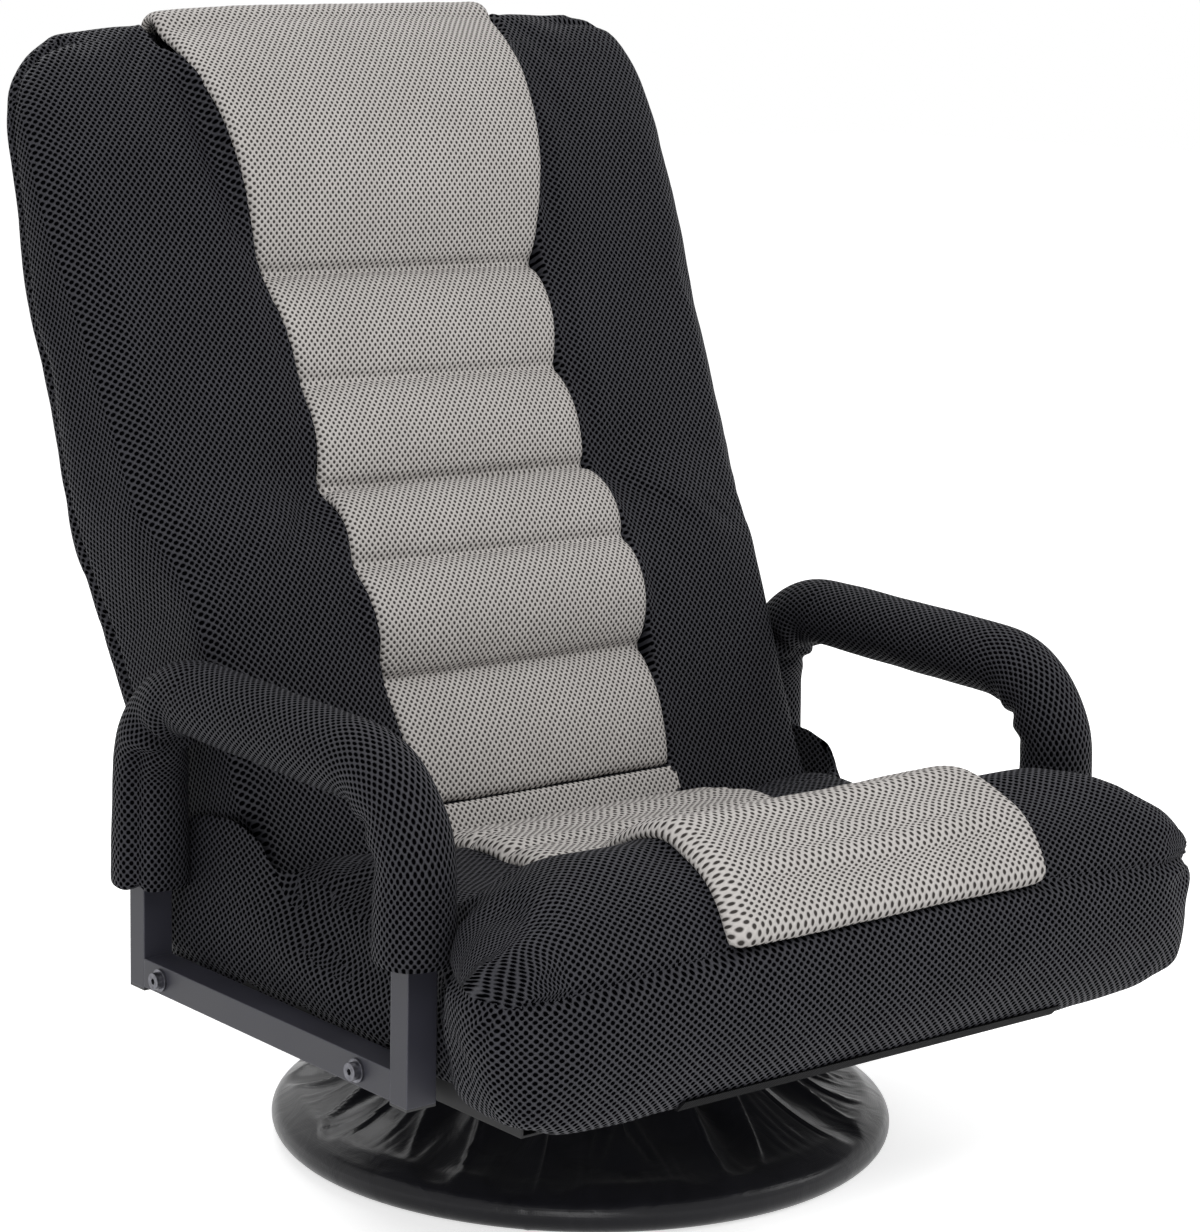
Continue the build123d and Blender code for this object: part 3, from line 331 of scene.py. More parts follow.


# Coil zip, wound from nylon thread, and webbing woven from polypropylene: rows of round teeth that glint one
# by one through a painted highlight on each crest, and dull flat ribs, also painted paler on their crests
def ribbedTape(name, look):
    material, tree, body = newMaterial(name, {
        "Roughness": look["roughness"], "Specular IOR Level": look["shine"]})
    place = addNode(tree, "TexCoord")
    ribs = addNode(tree, "TexWave", {
        "Vector": (place, "Object"), "Scale": math.pi / 10 / (look["pitch"] * mm),
        "Distortion": look["wander"]}, bands_direction=look["way"])
    # Painted highlight: the colour is paler on the crest of each tooth and rib, where the bump is high
    tone = addNode(tree, "Mix", {
        "Factor": (ribs, "Fac"), 6: toLinear(look["dark"]), 7: toLinear(look["light"])}, data_type="RGBA")
    bump = addNode(tree, "Bump", {
        "Height": (ribs, "Fac"), "Strength": look["bump"], "Distance": look["ribHeight"] * mm})
    wire(tree, body, {"Base Color": (tone, 2), "Normal": (bump, 0)})
    return material


zipNylon = ribbedTape("blackNylonZip", {
    "dark": "#040405", "light": "#131315", "roughness": 0.6, "shine": 0.04,
    "pitch": 1.6, "way": "X", "wander": 0.0, "bump": 0.9, "ribHeight": 0.6})
webbing = ribbedTape("blackRibbedWebbing", {
    "dark": "#121213", "light": "#232326", "roughness": 0.6, "shine": 0.3,
    "pitch": 2.2, "way": "Y", "wander": 0.6, "bump": 0.5, "ribHeight": 0.4})

finishes = {
    "black_mesh": blackMesh, "grey_mesh": greyMesh, "cover_nylon": coverNylon, "frame_paint": framePaint,
    "inner_paint": innerPaint, "zinc_steel": zincSteel, "bearing_steel": bearingSteel,
    "bolt_steel": boltSteel, "plug_plastic": plugPlastic, "webbing": webbing, "zip_tape": zipNylon,
}
# The frame under the cushion gets the black inner paint as painted shade, so that it reads as the dark
# underside
frameDarkenedAsShade = ("seat_rail_left", "seat_rail_right", "seat_front_tube", "seat_rear_tube", "seat_swivel_bars")
dressed = 0
for name, node in nodes.items():
    for part in node.material_slots:
        slotName = part.material.name.split(".")[0] if part.material else ""
        if slotName in finishes:
            part.material = innerPaint if name in frameDarkenedAsShade else finishes[slotName]
            dressed += 1
print("materials ready,", dressed, "CAD finishes replaced")


# Mesh helpers: points in and out as arrays, in metres
def readVectors(data, key):
    flat = np.empty(len(data) * 3)
    data.foreach_get(key, flat)
    return flat.reshape(-1, 3)


def readPoints(mesh):
    return readVectors(mesh.vertices, "co")


def readNormals(mesh):
    return readVectors(mesh.vertices, "normal")


def faceArrays(mesh):
    return readVectors(mesh.polygons, "normal"), readVectors(mesh.polygons, "center")


def writePoints(mesh, points):
    mesh.vertices.foreach_set("co", np.ascontiguousarray(points).ravel())
    mesh.update()


def readValues(mesh, key):
    values = np.empty(len(mesh.vertices))
    mesh.attributes[key].data.foreach_get("value", values)
    return values


def writeValues(mesh, key, values):
    layer = mesh.attributes.new(key, "FLOAT", "POINT")
    layer.data.foreach_set("value", np.ascontiguousarray(values, dtype=float).ravel())


def addPiece(name, mesh):
    piece = bpy.data.objects.new(name, mesh)
    scene.collection.objects.link(piece)
    return piece


def settle(piece):
    # Applies the modifiers
    graph = bpy.context.evaluated_depsgraph_get()
    made = bpy.data.meshes.new_from_object(piece.evaluated_get(graph))
    piece.modifiers.clear()
    old = piece.data
    piece.data = made
    bpy.data.meshes.remove(old)


def stuffedForm(name, nodeNames, voxel):
    # One even skin round the named CAD solids
    bm = bmesh.new()
    for nodeName in nodeNames:
        bm.from_mesh(nodes[nodeName].data)
    mesh = bpy.data.meshes.new(name)
    bm.to_mesh(mesh)
    bm.free()
    mesh.materials.clear()
    piece = addPiece(name, mesh)
    remesh = piece.modifiers.new("remesh", "REMESH")
    remesh.mode = "VOXEL"
    remesh.voxel_size = voxel
    settle(piece)
    keepLargest(piece.data)
    return piece


def keepLargest(mesh):
    # Deletes the skins of closed hollows inside
    bm = bmesh.new()
    bm.from_mesh(mesh)
    bm.verts.ensure_lookup_table()
    group = [-1] * len(bm.verts)
    sizes = []
    for start in bm.verts:
        if group[start.index] >= 0:
            continue
        todo = [start]
        group[start.index] = len(sizes)
        count = 0
        while todo:
            vert = todo.pop()
            count += 1
            for edge in vert.link_edges:
                other = edge.other_vert(vert)
                if group[other.index] < 0:
                    group[other.index] = len(sizes)
                    todo.append(other)
        sizes.append(count)
    best = sizes.index(max(sizes))
    bmesh.ops.delete(bm, geom=[v for v in bm.verts if group[v.index] != best], context="VERTS")
    bm.to_mesh(mesh)
    bm.free()


def neighbourMean(mesh, points):
    edges = np.empty(len(mesh.edges) * 2, dtype=np.int64)
    mesh.edges.foreach_get("vertices", edges)
    starts, ends = edges.reshape(-1, 2).T
    size = len(points)
    count = np.bincount(np.concatenate([starts, ends]), minlength=size)
    total = [np.bincount(starts, points[ends, axis], size) + np.bincount(ends, points[starts, axis], size)
             for axis in range(3)]
    return np.column_stack(total) / np.maximum(count, 1)[:, None]


def relax(mesh, rounds):
    # Taubin smoothing: softens the voxel steps and keeps the volume
    points = readPoints(mesh)
    for i in range(rounds * 2):
        points = points + (0.55 if i % 2 == 0 else -0.56) * (neighbourMean(mesh, points) - points)
    writePoints(mesh, points)


def soften(mesh, weight, rounds):
    # Rounds off the corners where the weight is 1 and leaves the rest
    points = readPoints(mesh)
    for _ in range(rounds):
        points = points + 0.5 * weight[:, None] * (neighbourMean(mesh, points) - points)
    writePoints(mesh, points)


def simulate(piece, give, cap, pressure=0.0, gravity=0.0, steps=20):
    # Cloth: air pressure puffs a cover out, gravity lets it sag
    # give says how free each point is, cap is the most that it moves
    start = readPoints(piece.data)
    pins = piece.vertex_groups.new(name="pins")
    for i, free in enumerate(give):
        pins.add([i], float(1 - free), "REPLACE")
    cloth = piece.modifiers.new("cloth", "CLOTH")
    cloth.settings.quality = 5
    cloth.settings.vertex_group_mass = "pins"
    cloth.settings.use_pressure = pressure > 0
    cloth.settings.uniform_pressure_force = pressure
    cloth.settings.effector_weights.gravity = gravity
    for step in range(1, steps + 1):
        scene.frame_set(step)
    graph = bpy.context.evaluated_depsgraph_get()
    moved = piece.evaluated_get(graph).to_mesh()
    end = readPoints(moved)
    piece.evaluated_get(graph).to_mesh_clear()
    piece.modifiers.clear()
    piece.vertex_groups.clear()
    scene.frame_set(1)
    move = np.nan_to_num(end - start) * give[:, None]
    length = np.linalg.norm(move, axis=1, keepdims=True)
    move *= np.minimum(1, cap / np.maximum(length, 1e-9))
    writePoints(piece.data, start + move)
    print(piece.name, "cloth moved by up to", round(float(np.linalg.norm(move, axis=1).max()) / mm, 1), "mm")


def subdivideOnce(piece):
    finer = piece.modifiers.new("finer", "SUBSURF")
    finer.levels = 1
    finer.render_levels = 1
    settle(piece)


def bell(distance, width):
    return np.exp(-(distance / width) ** 2)


def softStep(value, low, high):
    share = np.clip((value - low) / (high - low), 0, 1)
    return share * share * (3 - 2 * share)


def turnGap(angle, middle):
    # Angle from the middle, between minus and plus half a turn
    return np.angle(np.exp(1j * (angle - middle)))


def rumple(points, size, seed):
    shift = Vector((seed * 3.1, seed * 1.7, seed * 5.3))
    return np.array([noise.noise(Vector(p) / size + shift) for p in points])


def columnShares(count):
    # Shares across a panel from -1 to 1, closer together at its edges
    even = np.linspace(-1, 1, count)
    return np.sin(even * math.pi / 2) * 0.5 + even * 0.5


def headings(line):
    ways = np.gradient(line, axis=0)
    return ways / np.linalg.norm(ways, axis=1)[:, None]


def curveThrough(points, per=24):
    # Smooth line through the given points
    points = np.array(points, dtype=float)
    padded = np.vstack([2 * points[0] - points[1], points, 2 * points[-1] - points[-2]])
    line = []
    for i in range(1, len(padded) - 2):
        p0, p1, p2, p3 = padded[i - 1:i + 3]
        for t in np.linspace(0, 1, per, endpoint=False):
            straight = 2 * p1 + (p2 - p0) * t
            bent = (2 * p0 - 5 * p1 + 4 * p2 - p3) * t * t + (3 * p1 - p0 - 3 * p2 + p3) * t ** 3
            line.append(0.5 * (straight + bent))
    line.append(padded[-2])
    return np.array(line)


def runLength(line):
    return np.concatenate([[0], np.cumsum(np.linalg.norm(np.diff(line, axis=0), axis=1))])


def evenSteps(line, step):
    # The same line with points an even step apart, and how far along each lies
    run = runLength(line)
    spots = np.linspace(0, run[-1], int(round(run[-1] / step)) + 1)
    return np.column_stack([np.interp(spots, run, line[:, 0]), np.interp(spots, run, line[:, 1])]), spots


def lengthAlong(flat, line):
    # For each flat point, how far along the line its nearest point lies
    run = runLength(line)
    best = np.full(len(flat), 1e9)
    along = np.zeros(len(flat))
    for i in range(len(line) - 1):
        step = line[i + 1] - line[i]
        share = np.clip(((flat - line[i]) @ step) / (step @ step), 0, 1)
        gap = np.linalg.norm(flat - line[i] - share[:, None] * step, axis=1)
        nearer = gap < best
        best[nearer] = gap[nearer]
        along[nearer] = run[i] + share[nearer] * (run[i + 1] - run[i])
    return along


def layWeave(mesh, charts, faceChart):
    # Writes where each face corner lies on its piece of cloth, in millimetres
    corners = np.empty(len(mesh.loops), dtype=np.int64)
    mesh.loops.foreach_get("vertex_index", corners)
    sizes = np.empty(len(mesh.polygons), dtype=np.int64)
    mesh.polygons.foreach_get("loop_total", sizes)
    chart = np.repeat(faceChart, sizes)
    spots = np.stack(charts)[chart, corners] / mm
    layer = mesh.attributes.new("weave", "FLOAT_VECTOR", "CORNER")
    layer.data.foreach_set("vector", np.column_stack([spots, np.zeros(len(spots))]).ravel())


def dress(piece, materials, bodyName, nodeName):
    piece.data.materials.clear()
    for material in materials:
        piece.data.materials.append(material)
    piece.data.polygons.foreach_set("use_smooth", np.ones(len(piece.data.polygons), dtype=bool))
    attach(piece, bodyName)
    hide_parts(nodeName)


def gridFaces(rows, columns, closed=False):
    faces = []
    for r in range(rows - 1):
        low, high = r * columns, (r + 1) * columns
        for c in range(columns if closed else columns - 1):
            onward = (c + 1) % columns
            faces.append((low + c, low + onward, high + onward, high + c))
    return faces


def sewnPanel(name, spots, outward, runs, halves, lifts, seamRuns, look, material, bodyName, nodeName):
    # A padded panel over a grid: rows along the line, columns across; its edges turn down into the seam
    shares = columnShares(look["columns"])
    rows, columns = len(runs), len(shares)
    acrossEdge = (1 - np.abs(shares))[None, :] * halves[:, None]
    edge = np.minimum(acrossEdge, np.minimum(runs, runs[-1] - runs)[:, None])
    turned = np.clip(1 - edge / look["edgeRound"], 0, 1)
    rise = lifts - look["edgeSink"] * (1 - np.sqrt(1 - turned ** 2))
    points = (spots + outward[:, None, :] * rise[:, :, None]).reshape(-1, 3)
    mesh = bpy.data.meshes.new(name)
    mesh.from_pydata(points.tolist(), [], gridFaces(rows, columns))
    writeValues(mesh, "acrossAt", shares[None, :] * halves[:, None])
    writeValues(mesh, "runAt", np.repeat(runs, columns))
    piece = addPiece(name, mesh)
    # Held down at the seams
    free = 1 - np.clip(sum(bell(runs - spot, look["heldWidth"]) for spot in seamRuns), 0, 1)
    give = softStep(edge, 0.004, 0.018) * free[:, None]
    simulate(piece, give.ravel(), look["cap"], pressure=look["pressure"])
    thick = piece.modifiers.new("thick", "SOLIDIFY")
    thick.thickness = look["thickness"]
    thick.offset = -1
    settle(piece)
    subdivideOnce(piece)
    mesh = piece.data
    points = readPoints(mesh)
    push = 0.0007 * rumple(points, 0.05, look["seed"]) + 0.0004 * rumple(points, 0.018, look["seed"] + 1)
    writePoints(mesh, points + readNormals(mesh) * push[:, None])
    chart = np.column_stack([readValues(mesh, "acrossAt"), readValues(mesh, "runAt")])
    layWeave(mesh, [chart], np.zeros(len(mesh.polygons), dtype=np.int64))
    dress(piece, [material], bodyName, nodeName)
    return piece


# Seat cushion: dish, ramp, front roll and two lobes, with a grey panel let in
seat = {
    "voxel": 0.006, "cap": 0.006, "relax": 5, "pressure": 4.0, "fill": 0.7, "softenRounds": 16,
    "profile": [
        (80, 205), (12, 200), (-60, 198), (-104, 198), (-133, 207), (-162, 227), (-194, 244), (-226, 251),
        (-262, 240), (-279, 207), (-288, 160), (-262, 113.5), (-150, 113.5), (80, 113.5)],
    "outline": [
        (-248, -185), (-274, -225), (-276, -258), (-245, -281), (-120, -287), (0, -288),
        (120, -287), (245, -281), (276, -258), (274, -225), (248, -185)],
    "frontSeam": 209, "frontSeamDrop": 13, "frontSeamDepth": 0.0040, "frontSeamWidth": 0.0042,
    "sideSeam": 130, "sideSeamDepth": 0.0026, "sideSeamWidth": 0.0036, "hollow": 0.0062, "lobeFront": -0.185,
    "cheekPull": 0.031, "cheekLift": 0.014, "cheekHang": 0.010, "lobeHang": 0.009,
    "cheekInner": 0.2325, "rearRoom": 0.004, "cornerY": -0.262,
    "pucker": 0.0014, "puckers": 9, "puckerAt": 0.016,
    "folds": [  # height, depth, tilt and width of each fold in the side panel
        (0.205, 0.0034, 0.55, 0.011), (0.172, -0.0032, 0.42, 0.014),
        (0.148, 0.0026, 0.30, 0.012), (0.222, -0.0024, 0.75, 0.010)],
}
seatPanelLook = {
    "line": [
        (7.5, 200), (-26, 200), (-64, 200), (-102, 200), (-133, 210), (-162, 230), (-194, 247), (-226, 254),
        (-262, 243), (-278, 219), (-280.5, 210)],
    "rear": (12, 106), "front": (-288, 122), "step": 0.0034, "columns": 49, "widest": 0.2, "proud": 0.0008,
    "channels": [-26, -64, -102], "channelDepth": 0.0034, "channelWidth": 0.0040, "heldWidth": 0.007,
    "edgeRound": 0.008, "edgeSink": 0.0050, "thickness": 0.0075, "cap": 0.003, "pressure": 3.0, "seed": 21,
    "rayStart": 0.03, "rayRounds": 6,
}


def seatPanelHalf(y):
    (rearY, rearHalf), (frontY, frontHalf) = seatPanelLook["rear"], seatPanelLook["front"]
    return (rearHalf + (rearY - y / mm) / (rearY - frontY) * (frontHalf - rearHalf)) * mm


def frontSeamHeight(x):
    return (seat["frontSeam"] - seat["frontSeamDrop"] * (x / 0.27) ** 2) * mm


seatCushion = stuffedForm("seatCushion", ["seat_cushion", "seat_center_panel"], seat["voxel"])
relax(seatCushion.data, seat["relax"])
x, y, z = readPoints(seatCushion.data).T
lobes = softStep(np.abs(x), 0.18, 0.23) * softStep(-y, 0.17, 0.20)
cheeks = softStep(np.abs(x), 0.19, 0.205) * softStep(y, -0.09, -0.03)
soften(seatCushion.data, np.maximum(lobes, 0.5 * cheeks), seat["softenRounds"])
points = readPoints(seatCushion.data)
x, y, z = points.T
outerSide = softStep(np.abs(x), 0.216, 0.228)
points[:, 1] += seat["cheekPull"] * outerSide * softStep(y, 0.03, 0.09)  # side panel back past the hinge
overHinge = softStep(np.abs(x), 0.226, 0.234) * softStep(z, 0.18, 0.21) * softStep(y, -0.03, 0.02)
points[:, 2] += seat["cheekLift"] * overHinge  # and up over it
lobeEnds = softStep(np.abs(x), 0.238, 0.264) * softStep(-y, 0.165, 0.195) * softStep(0.165 - z, 0, 0.03)
points[:, 2] -= seat["lobeHang"] * lobeEnds  # lobes hang past the rails
lowRear = outerSide * softStep(y, 0.03, 0.07) * softStep(0.15 - z, 0, 0.025)
points[:, 2] -= seat["cheekHang"] * lowRear  # and the side panel hangs to the arm rail
writePoints(seatCushion.data, points)
x, y, z = readPoints(seatCushion.data).T
give = softStep(z, 0.140, 0.165) * softStep(y, 0.010, -0.030)
give = give + softStep(-y, 0.20, 0.24) * softStep(z, 0.116, 0.135)
simulate(seatCushion, np.clip(give, 0, 1), seat["cap"], pressure=seat["pressure"])

line, runs = evenSteps(curveThrough(seatPanelLook["line"]) * mm, seatPanelLook["step"])
ways = headings(line)
outward = np.column_stack([np.zeros(len(line)), ways[:, 1], -ways[:, 0]])
halves = seatPanelHalf(line[:, 0])
skinFaces = [list(p.vertices) for p in seatCushion.data.polygons]
skin = BVHTree.FromPolygons(readPoints(seatCushion.data).tolist(), skinFaces)
shares = columnShares(seatPanelLook["columns"])
spots = np.zeros((len(line), len(shares), 3))
height = np.zeros((len(line), len(shares)))
above = seatPanelLook["rayStart"]
for r in range(len(line)):
    for c, share in enumerate(shares):
        spots[r, c] = (share * min(halves[r], seatPanelLook["widest"]), *line[r])
        hit = skin.ray_cast(Vector(spots[r, c] + above * outward[r]), Vector(-outward[r]), 2 * above)
        height[r, c] = above - hit[3] if hit[0] else 0
for _ in range(seatPanelLook["rayRounds"]):  # evens out what the rays found
    wide = np.pad(height, 1, mode="edge")
    height = 0.5 * height + 0.125 * (wide[2:, 1:-1] + wide[:-2, 1:-1] + wide[1:-1, 2:] + wide[1:-1, :-2])
flatRows = 60  # the channels lie on the flat rear part
channelRuns = [float(np.interp(-channel * mm, -line[:flatRows, 0], runs[:flatRows]))
               for channel in seatPanelLook["channels"]]
dip = sum(bell(runs - spot, seatPanelLook["channelWidth"]) for spot in channelRuns)
lifts = height - seatPanelLook["channelDepth"] * dip[:, None] + seatPanelLook["proud"]
sewnPanel("seatPanel", spots, outward, runs, halves, lifts, channelRuns, seatPanelLook, greySeatMesh,
          "seat", "seat_center_panel")

subdivideOnce(seatCushion)
mesh = seatCushion.data
points = readPoints(mesh)
normals = readNormals(mesh)
x, y, z = points.T
seamZ = frontSeamHeight(x)
inside = seatPanelHalf(y) - np.abs(x)
aboveSeam = softStep(z, seamZ - 0.002, seamZ + 0.004)
facesUp = softStep(normals[:, 2], 0.15, 0.4) * softStep(z, 0.16, 0.17)
onTop = np.where(y < -0.2, aboveSeam, facesUp) * softStep(0.0125 - y, 0, 0.003)
push = -seat["hollow"] * softStep(inside, -0.0015, 0.005) * onTop  # hollow that the grey panel lies in
push -= seat["frontSeamDepth"] * bell(z - seamZ, seat["frontSeamWidth"]) * softStep(-y, 0.17, 0.20)
spread = np.hypot(y - seat["cornerY"], z - seamZ)
angle = np.arctan2(z - seamZ, y - seat["cornerY"])
puckers = seat["pucker"] * np.cos(seat["puckers"] * angle + 0.6) * bell(spread - seat["puckerAt"], 0.016)
for side in (-1, 1):
    push += softStep(side * x, 0.225, 0.25) * puckers  # where the seam turns the corner
    sidePanel = softStep(side * x, 0.215, 0.228) * softStep(y, -0.19, -0.15) * softStep(z, 0.118, 0.130)
    push -= seat["sideSeamDepth"] * bell(z - seat["sideSeam"] * mm, seat["sideSeamWidth"]) * sidePanel
    for lift, depth, tilt, width in seat["folds"]:
        push += sidePanel * depth * bell((z - lift) - tilt * (y + 0.06), width) * bell(y + 0.03, 0.10)
push += 0.0009 * rumple(points, 0.055, 1) + 0.0005 * rumple(points, 0.021, 2)
points += normals * push[:, None]
x, y, z = points.T
# Above the rails and behind them
pastRails = np.maximum(softStep(z, 0.135, 0.142), softStep(y, 0.096, 0.102))
beside = softStep(y, 0.011, 0.024) * pastRails
points[:, 0] += np.sign(x) * beside * np.clip(seat["cheekInner"] - np.abs(x), 0, None)  # room for the hinge
rearWall = softStep(y, 0.005, 0.012) * softStep(z, 0.138, 0.148) * softStep(0.226 - np.abs(x), 0, 0.004)
points[:, 1] -= seat["rearRoom"] * rearWall  # and for the back's roll
writePoints(mesh, points)
points = readPoints(mesh)
x, y, z = points.T
faceNormals, centres = faceArrays(mesh)
inFront = centres[:, 1] < seat["lobeFront"]
isSide = (np.abs(faceNormals[:, 0]) > 0.72) & (np.abs(centres[:, 0]) > 0.20) & ~inFront
isBoxing = inFront & (centres[:, 2] < frontSeamHeight(centres[:, 0]))
along = lengthAlong(points[:, 1:3], curveThrough(seat["profile"]) * mm)
rim = lengthAlong(points[:, :2], curveThrough(seat["outline"]) * mm)
overEnd = np.clip(0.232 - z, 0, 0.04) * softStep(np.abs(x), 0.235, 0.262)
overEdge = x + np.sign(x) * overEnd  # on over the end of the lobe
charts = [np.column_stack([overEdge, along]), points[:, 1:3], np.column_stack([rim, z])]
layWeave(mesh, charts, np.where(isBoxing, 2, isSide.astype(np.int64)))
dress(seatCushion, [blackSeatMesh], "seat", "seat_cushion")
print("seat cushion and panel made,", len(seatCushion.data.polygons), "faces")


# Back cushion: bolsters round a waisted grey panel of sewn channels, with the head pad over the top edge
back = {
    "voxel": 0.006, "cap": 0.005, "relax": 5, "pressure": 4.0, "fill": 0.7, "softenRounds": 10,
    "lean": 26.2, "foot": (0, 27.1, 169.8),
    "front": [
        (24, -36), (-3, -24), (-11.6, 0), (-11.6, 64), (-19, 130), (-22, 200), (-8, 263),
        (-8, 345), (-9, 430), (-12, 500), (-8, 545), (0, 570), (10, 593), (18, 597)],
    "rear": [
        (24, 595), (31, 570), (33, 545), (42, 500), (56, 430), (74, 345), (91, 263), (108, 200), (104, 130),
        (84, 64), (60, 0), (51, -24), (24, -36)],
    "slump": 0.034, "rise": 0.0025, "corners": 0.4, "cornerDrop": 0.010, "fuller": 0.0065,
    "hollow": 0.014, "headHollow": 0.012, "sideSeam": 0.021, "sideSeamDepth": 0.0048, "sideSeamWidth": 0.0034,
    "dentDepth": 0.009, "dentAt": (0.128, 0.262), "swell": 0.004, "swellAt": (0.165, 0.225),
    "stripHalf": 0.1035, "stripTop": 0.047, "crest": 0.575,
}
backPanelLook = {
    "grooves": [  # height up the back, depth behind the plane, half width and fullness of the channel above
        (46, -10, 104, 9), (131.5, -8, 109, 17), (205.5, -18, 113, 14), (262, 0, 109.6, 11),
        (333, -3, 106.5, 12), (410, 2, 114.5, 33), (586, 2, 139, 0)],
    "grooveDepth": [0, 0.0016, 0.0012, 0.0035, 0.0012, 0.0022], "grooveWidth": 0.004, "heldWidth": 0.009,
    "over": [(2, 586), (17, 604), (31, 580)], "rearEnd": (32, 552), "top": 640, "step": 0.0036, "columns": 49,
    "arcSteps": 60, "overSteps": 40, "fullness": 0.0018, "shallow": 0.0012,
    "edgeRound": 0.009, "edgeSink": 0.0060, "thickness": 0.0070, "cap": 0.0035, "pressure": 3.5, "seed": 31,
}
lean = math.radians(back["lean"])
foot = np.array(back["foot"]) * mm
upBack = np.array([0, math.sin(lean), math.cos(lean)])
behindBack = np.array([0, math.cos(lean), -math.sin(lean)])
grooves = backPanelLook["grooves"]
grooveUp = np.array([g[0] for g in grooves] + [backPanelLook["top"]]) * mm
grooveHalf = np.array([g[2] for g in grooves] + [grooves[-1][2]]) * mm


def onBack(points):
    # x across, height up the back, depth behind the groove plane
    gap = points - foot
    return gap[:, 0], gap @ upBack, gap @ behindBack


def slumped(points):
    # The stuffing has settled a little to one side at the top, most at the corner
    x, up, _ = onBack(points)
    settled = back["rise"] + back["slump"] * x + back["corners"] * x ** 3
    settled -= back["cornerDrop"] * softStep(-x, 0.205, 0.255)
    return points + upBack * (settled * softStep(up, 0.40, 0.60))[:, None]


def arcThrough(start, middle, end, count):
    # Points along the arc that passes through three points
    (ax, ay), (bx, by), (cx, cy) = start, middle, end
    aa, bb, cc = ax * ax + ay * ay, bx * bx + by * by, cx * cx + cy * cy
    double = 2 * (ax * (by - cy) + bx * (cy - ay) + cx * (ay - by))
    centreX = (aa * (by - cy) + bb * (cy - ay) + cc * (ay - by)) / double
    centreY = (aa * (cx - bx) + bb * (ax - cx) + cc * (bx - ax)) / double
    first, second, third = (math.atan2(p[1] - centreY, p[0] - centreX) for p in (start, middle, end))
    turn = (third - first) % (2 * math.pi)
    if (second - first) % (2 * math.pi) > turn:
        turn -= 2 * math.pi
    radius = math.hypot(ax - centreX, ay - centreY)
    angles = [first + turn * k / count for k in range(count + 1)]
    return [(centreX + radius * math.cos(a), centreY + radius * math.sin(a)) for a in angles]


line = []
for low, high in zip(grooves[:-1], grooves[1:]):
    middle = ((low[1] + high[1]) / 2 - low[3], (low[0] + high[0]) / 2)
    line += arcThrough((low[1], low[0]), middle, (high[1], high[0]), backPanelLook["arcSteps"])[:-1]
line += arcThrough(*backPanelLook["over"], backPanelLook["overSteps"])
line.append(backPanelLook["rearEnd"])
line = np.array(line) * mm
fullRun = runLength(line)
grooveRuns = [float(fullRun[backPanelLook["arcSteps"] * i]) for i in range(len(grooves) - 1)]
line, runs = evenSteps(line, backPanelLook["step"])
ways = headings(line)
outward = -ways[:, 1:] * behindBack + ways[:, :1] * upBack
halves = np.interp(line[:, 1], grooveUp, grooveHalf)
halves[np.argmax(line[:, 1]):] = grooveHalf[-1]
shares = columnShares(backPanelLook["columns"])
spots = foot + line[:, :1] * behindBack + line[:, 1:] * upBack
spots = np.repeat(spots[:, None, :], len(shares), axis=1)
spots[:, :, 0] = shares[None, :] * halves[:, None]
dip = sum(depth * bell(runs - spot, backPanelLook["grooveWidth"])
          for spot, depth in zip(grooveRuns, backPanelLook["grooveDepth"]))
fullness = backPanelLook["fullness"] * (1 - np.abs(shares) ** 3)
betweenGrooves = 1 - np.clip(dip / backPanelLook["shallow"], 0, 1)
lifts = -dip[:, None] + fullness[None, :] * betweenGrooves[:, None]
backPanel = sewnPanel("backPanel", spots, outward, runs, halves, lifts, grooveRuns, backPanelLook, greyMesh,
                      "backrest", "back_center_panel")
writePoints(backPanel.data, slumped(readPoints(backPanel.data)))

backCushion = stuffedForm("backCushion", ["back_cushion", "back_center_panel"], back["voxel"])
relax(backCushion.data, back["relax"])
x, up, deep = onBack(readPoints(backCushion.data))
topCorners = softStep(up, 0.50, 0.56) * softStep(np.abs(x), 0.16, 0.20)
soften(backCushion.data, topCorners, back["softenRounds"])
points = readPoints(backCushion.data)
x, up, deep = onBack(points)
aboveArms = softStep(np.abs(x), 0.15, 0.20) * softStep(up, 0.20, 0.27) * softStep(0.56 - up, 0, 0.14)
points[:, 0] += np.sign(x) * back["fuller"] * aboveArms  # bolsters bulge above the arms
writePoints(backCushion.data, points)
x, up, deep = onBack(points)
give = softStep(up, 0.070, 0.12) * softStep(np.abs(x) - np.interp(up, grooveUp, grooveHalf), -0.004, 0.012)
give = give * softStep(0.225 - np.abs(x) + 0.2 * softStep(up, 0.2, 0.26), 0, 0.01)  # held in between the arms
simulate(backCushion, give, back["cap"], pressure=back["pressure"])
subdivideOnce(backCushion)
mesh = backCushion.data
points = readPoints(mesh)
normals = readNormals(mesh)
x, up, deep = onBack(points)
inside = np.interp(up, grooveUp, grooveHalf) - np.abs(x)
inside = inside + 0.007 * softStep(up, 0.56, 0.575)  # wider under the head pad
frontSide = np.maximum(softStep(-deep, -0.024, -0.014), softStep(up, 0.549, 0.556))
hollow = back["hollow"] + back["headHollow"] * softStep(up, 0.555, 0.58)
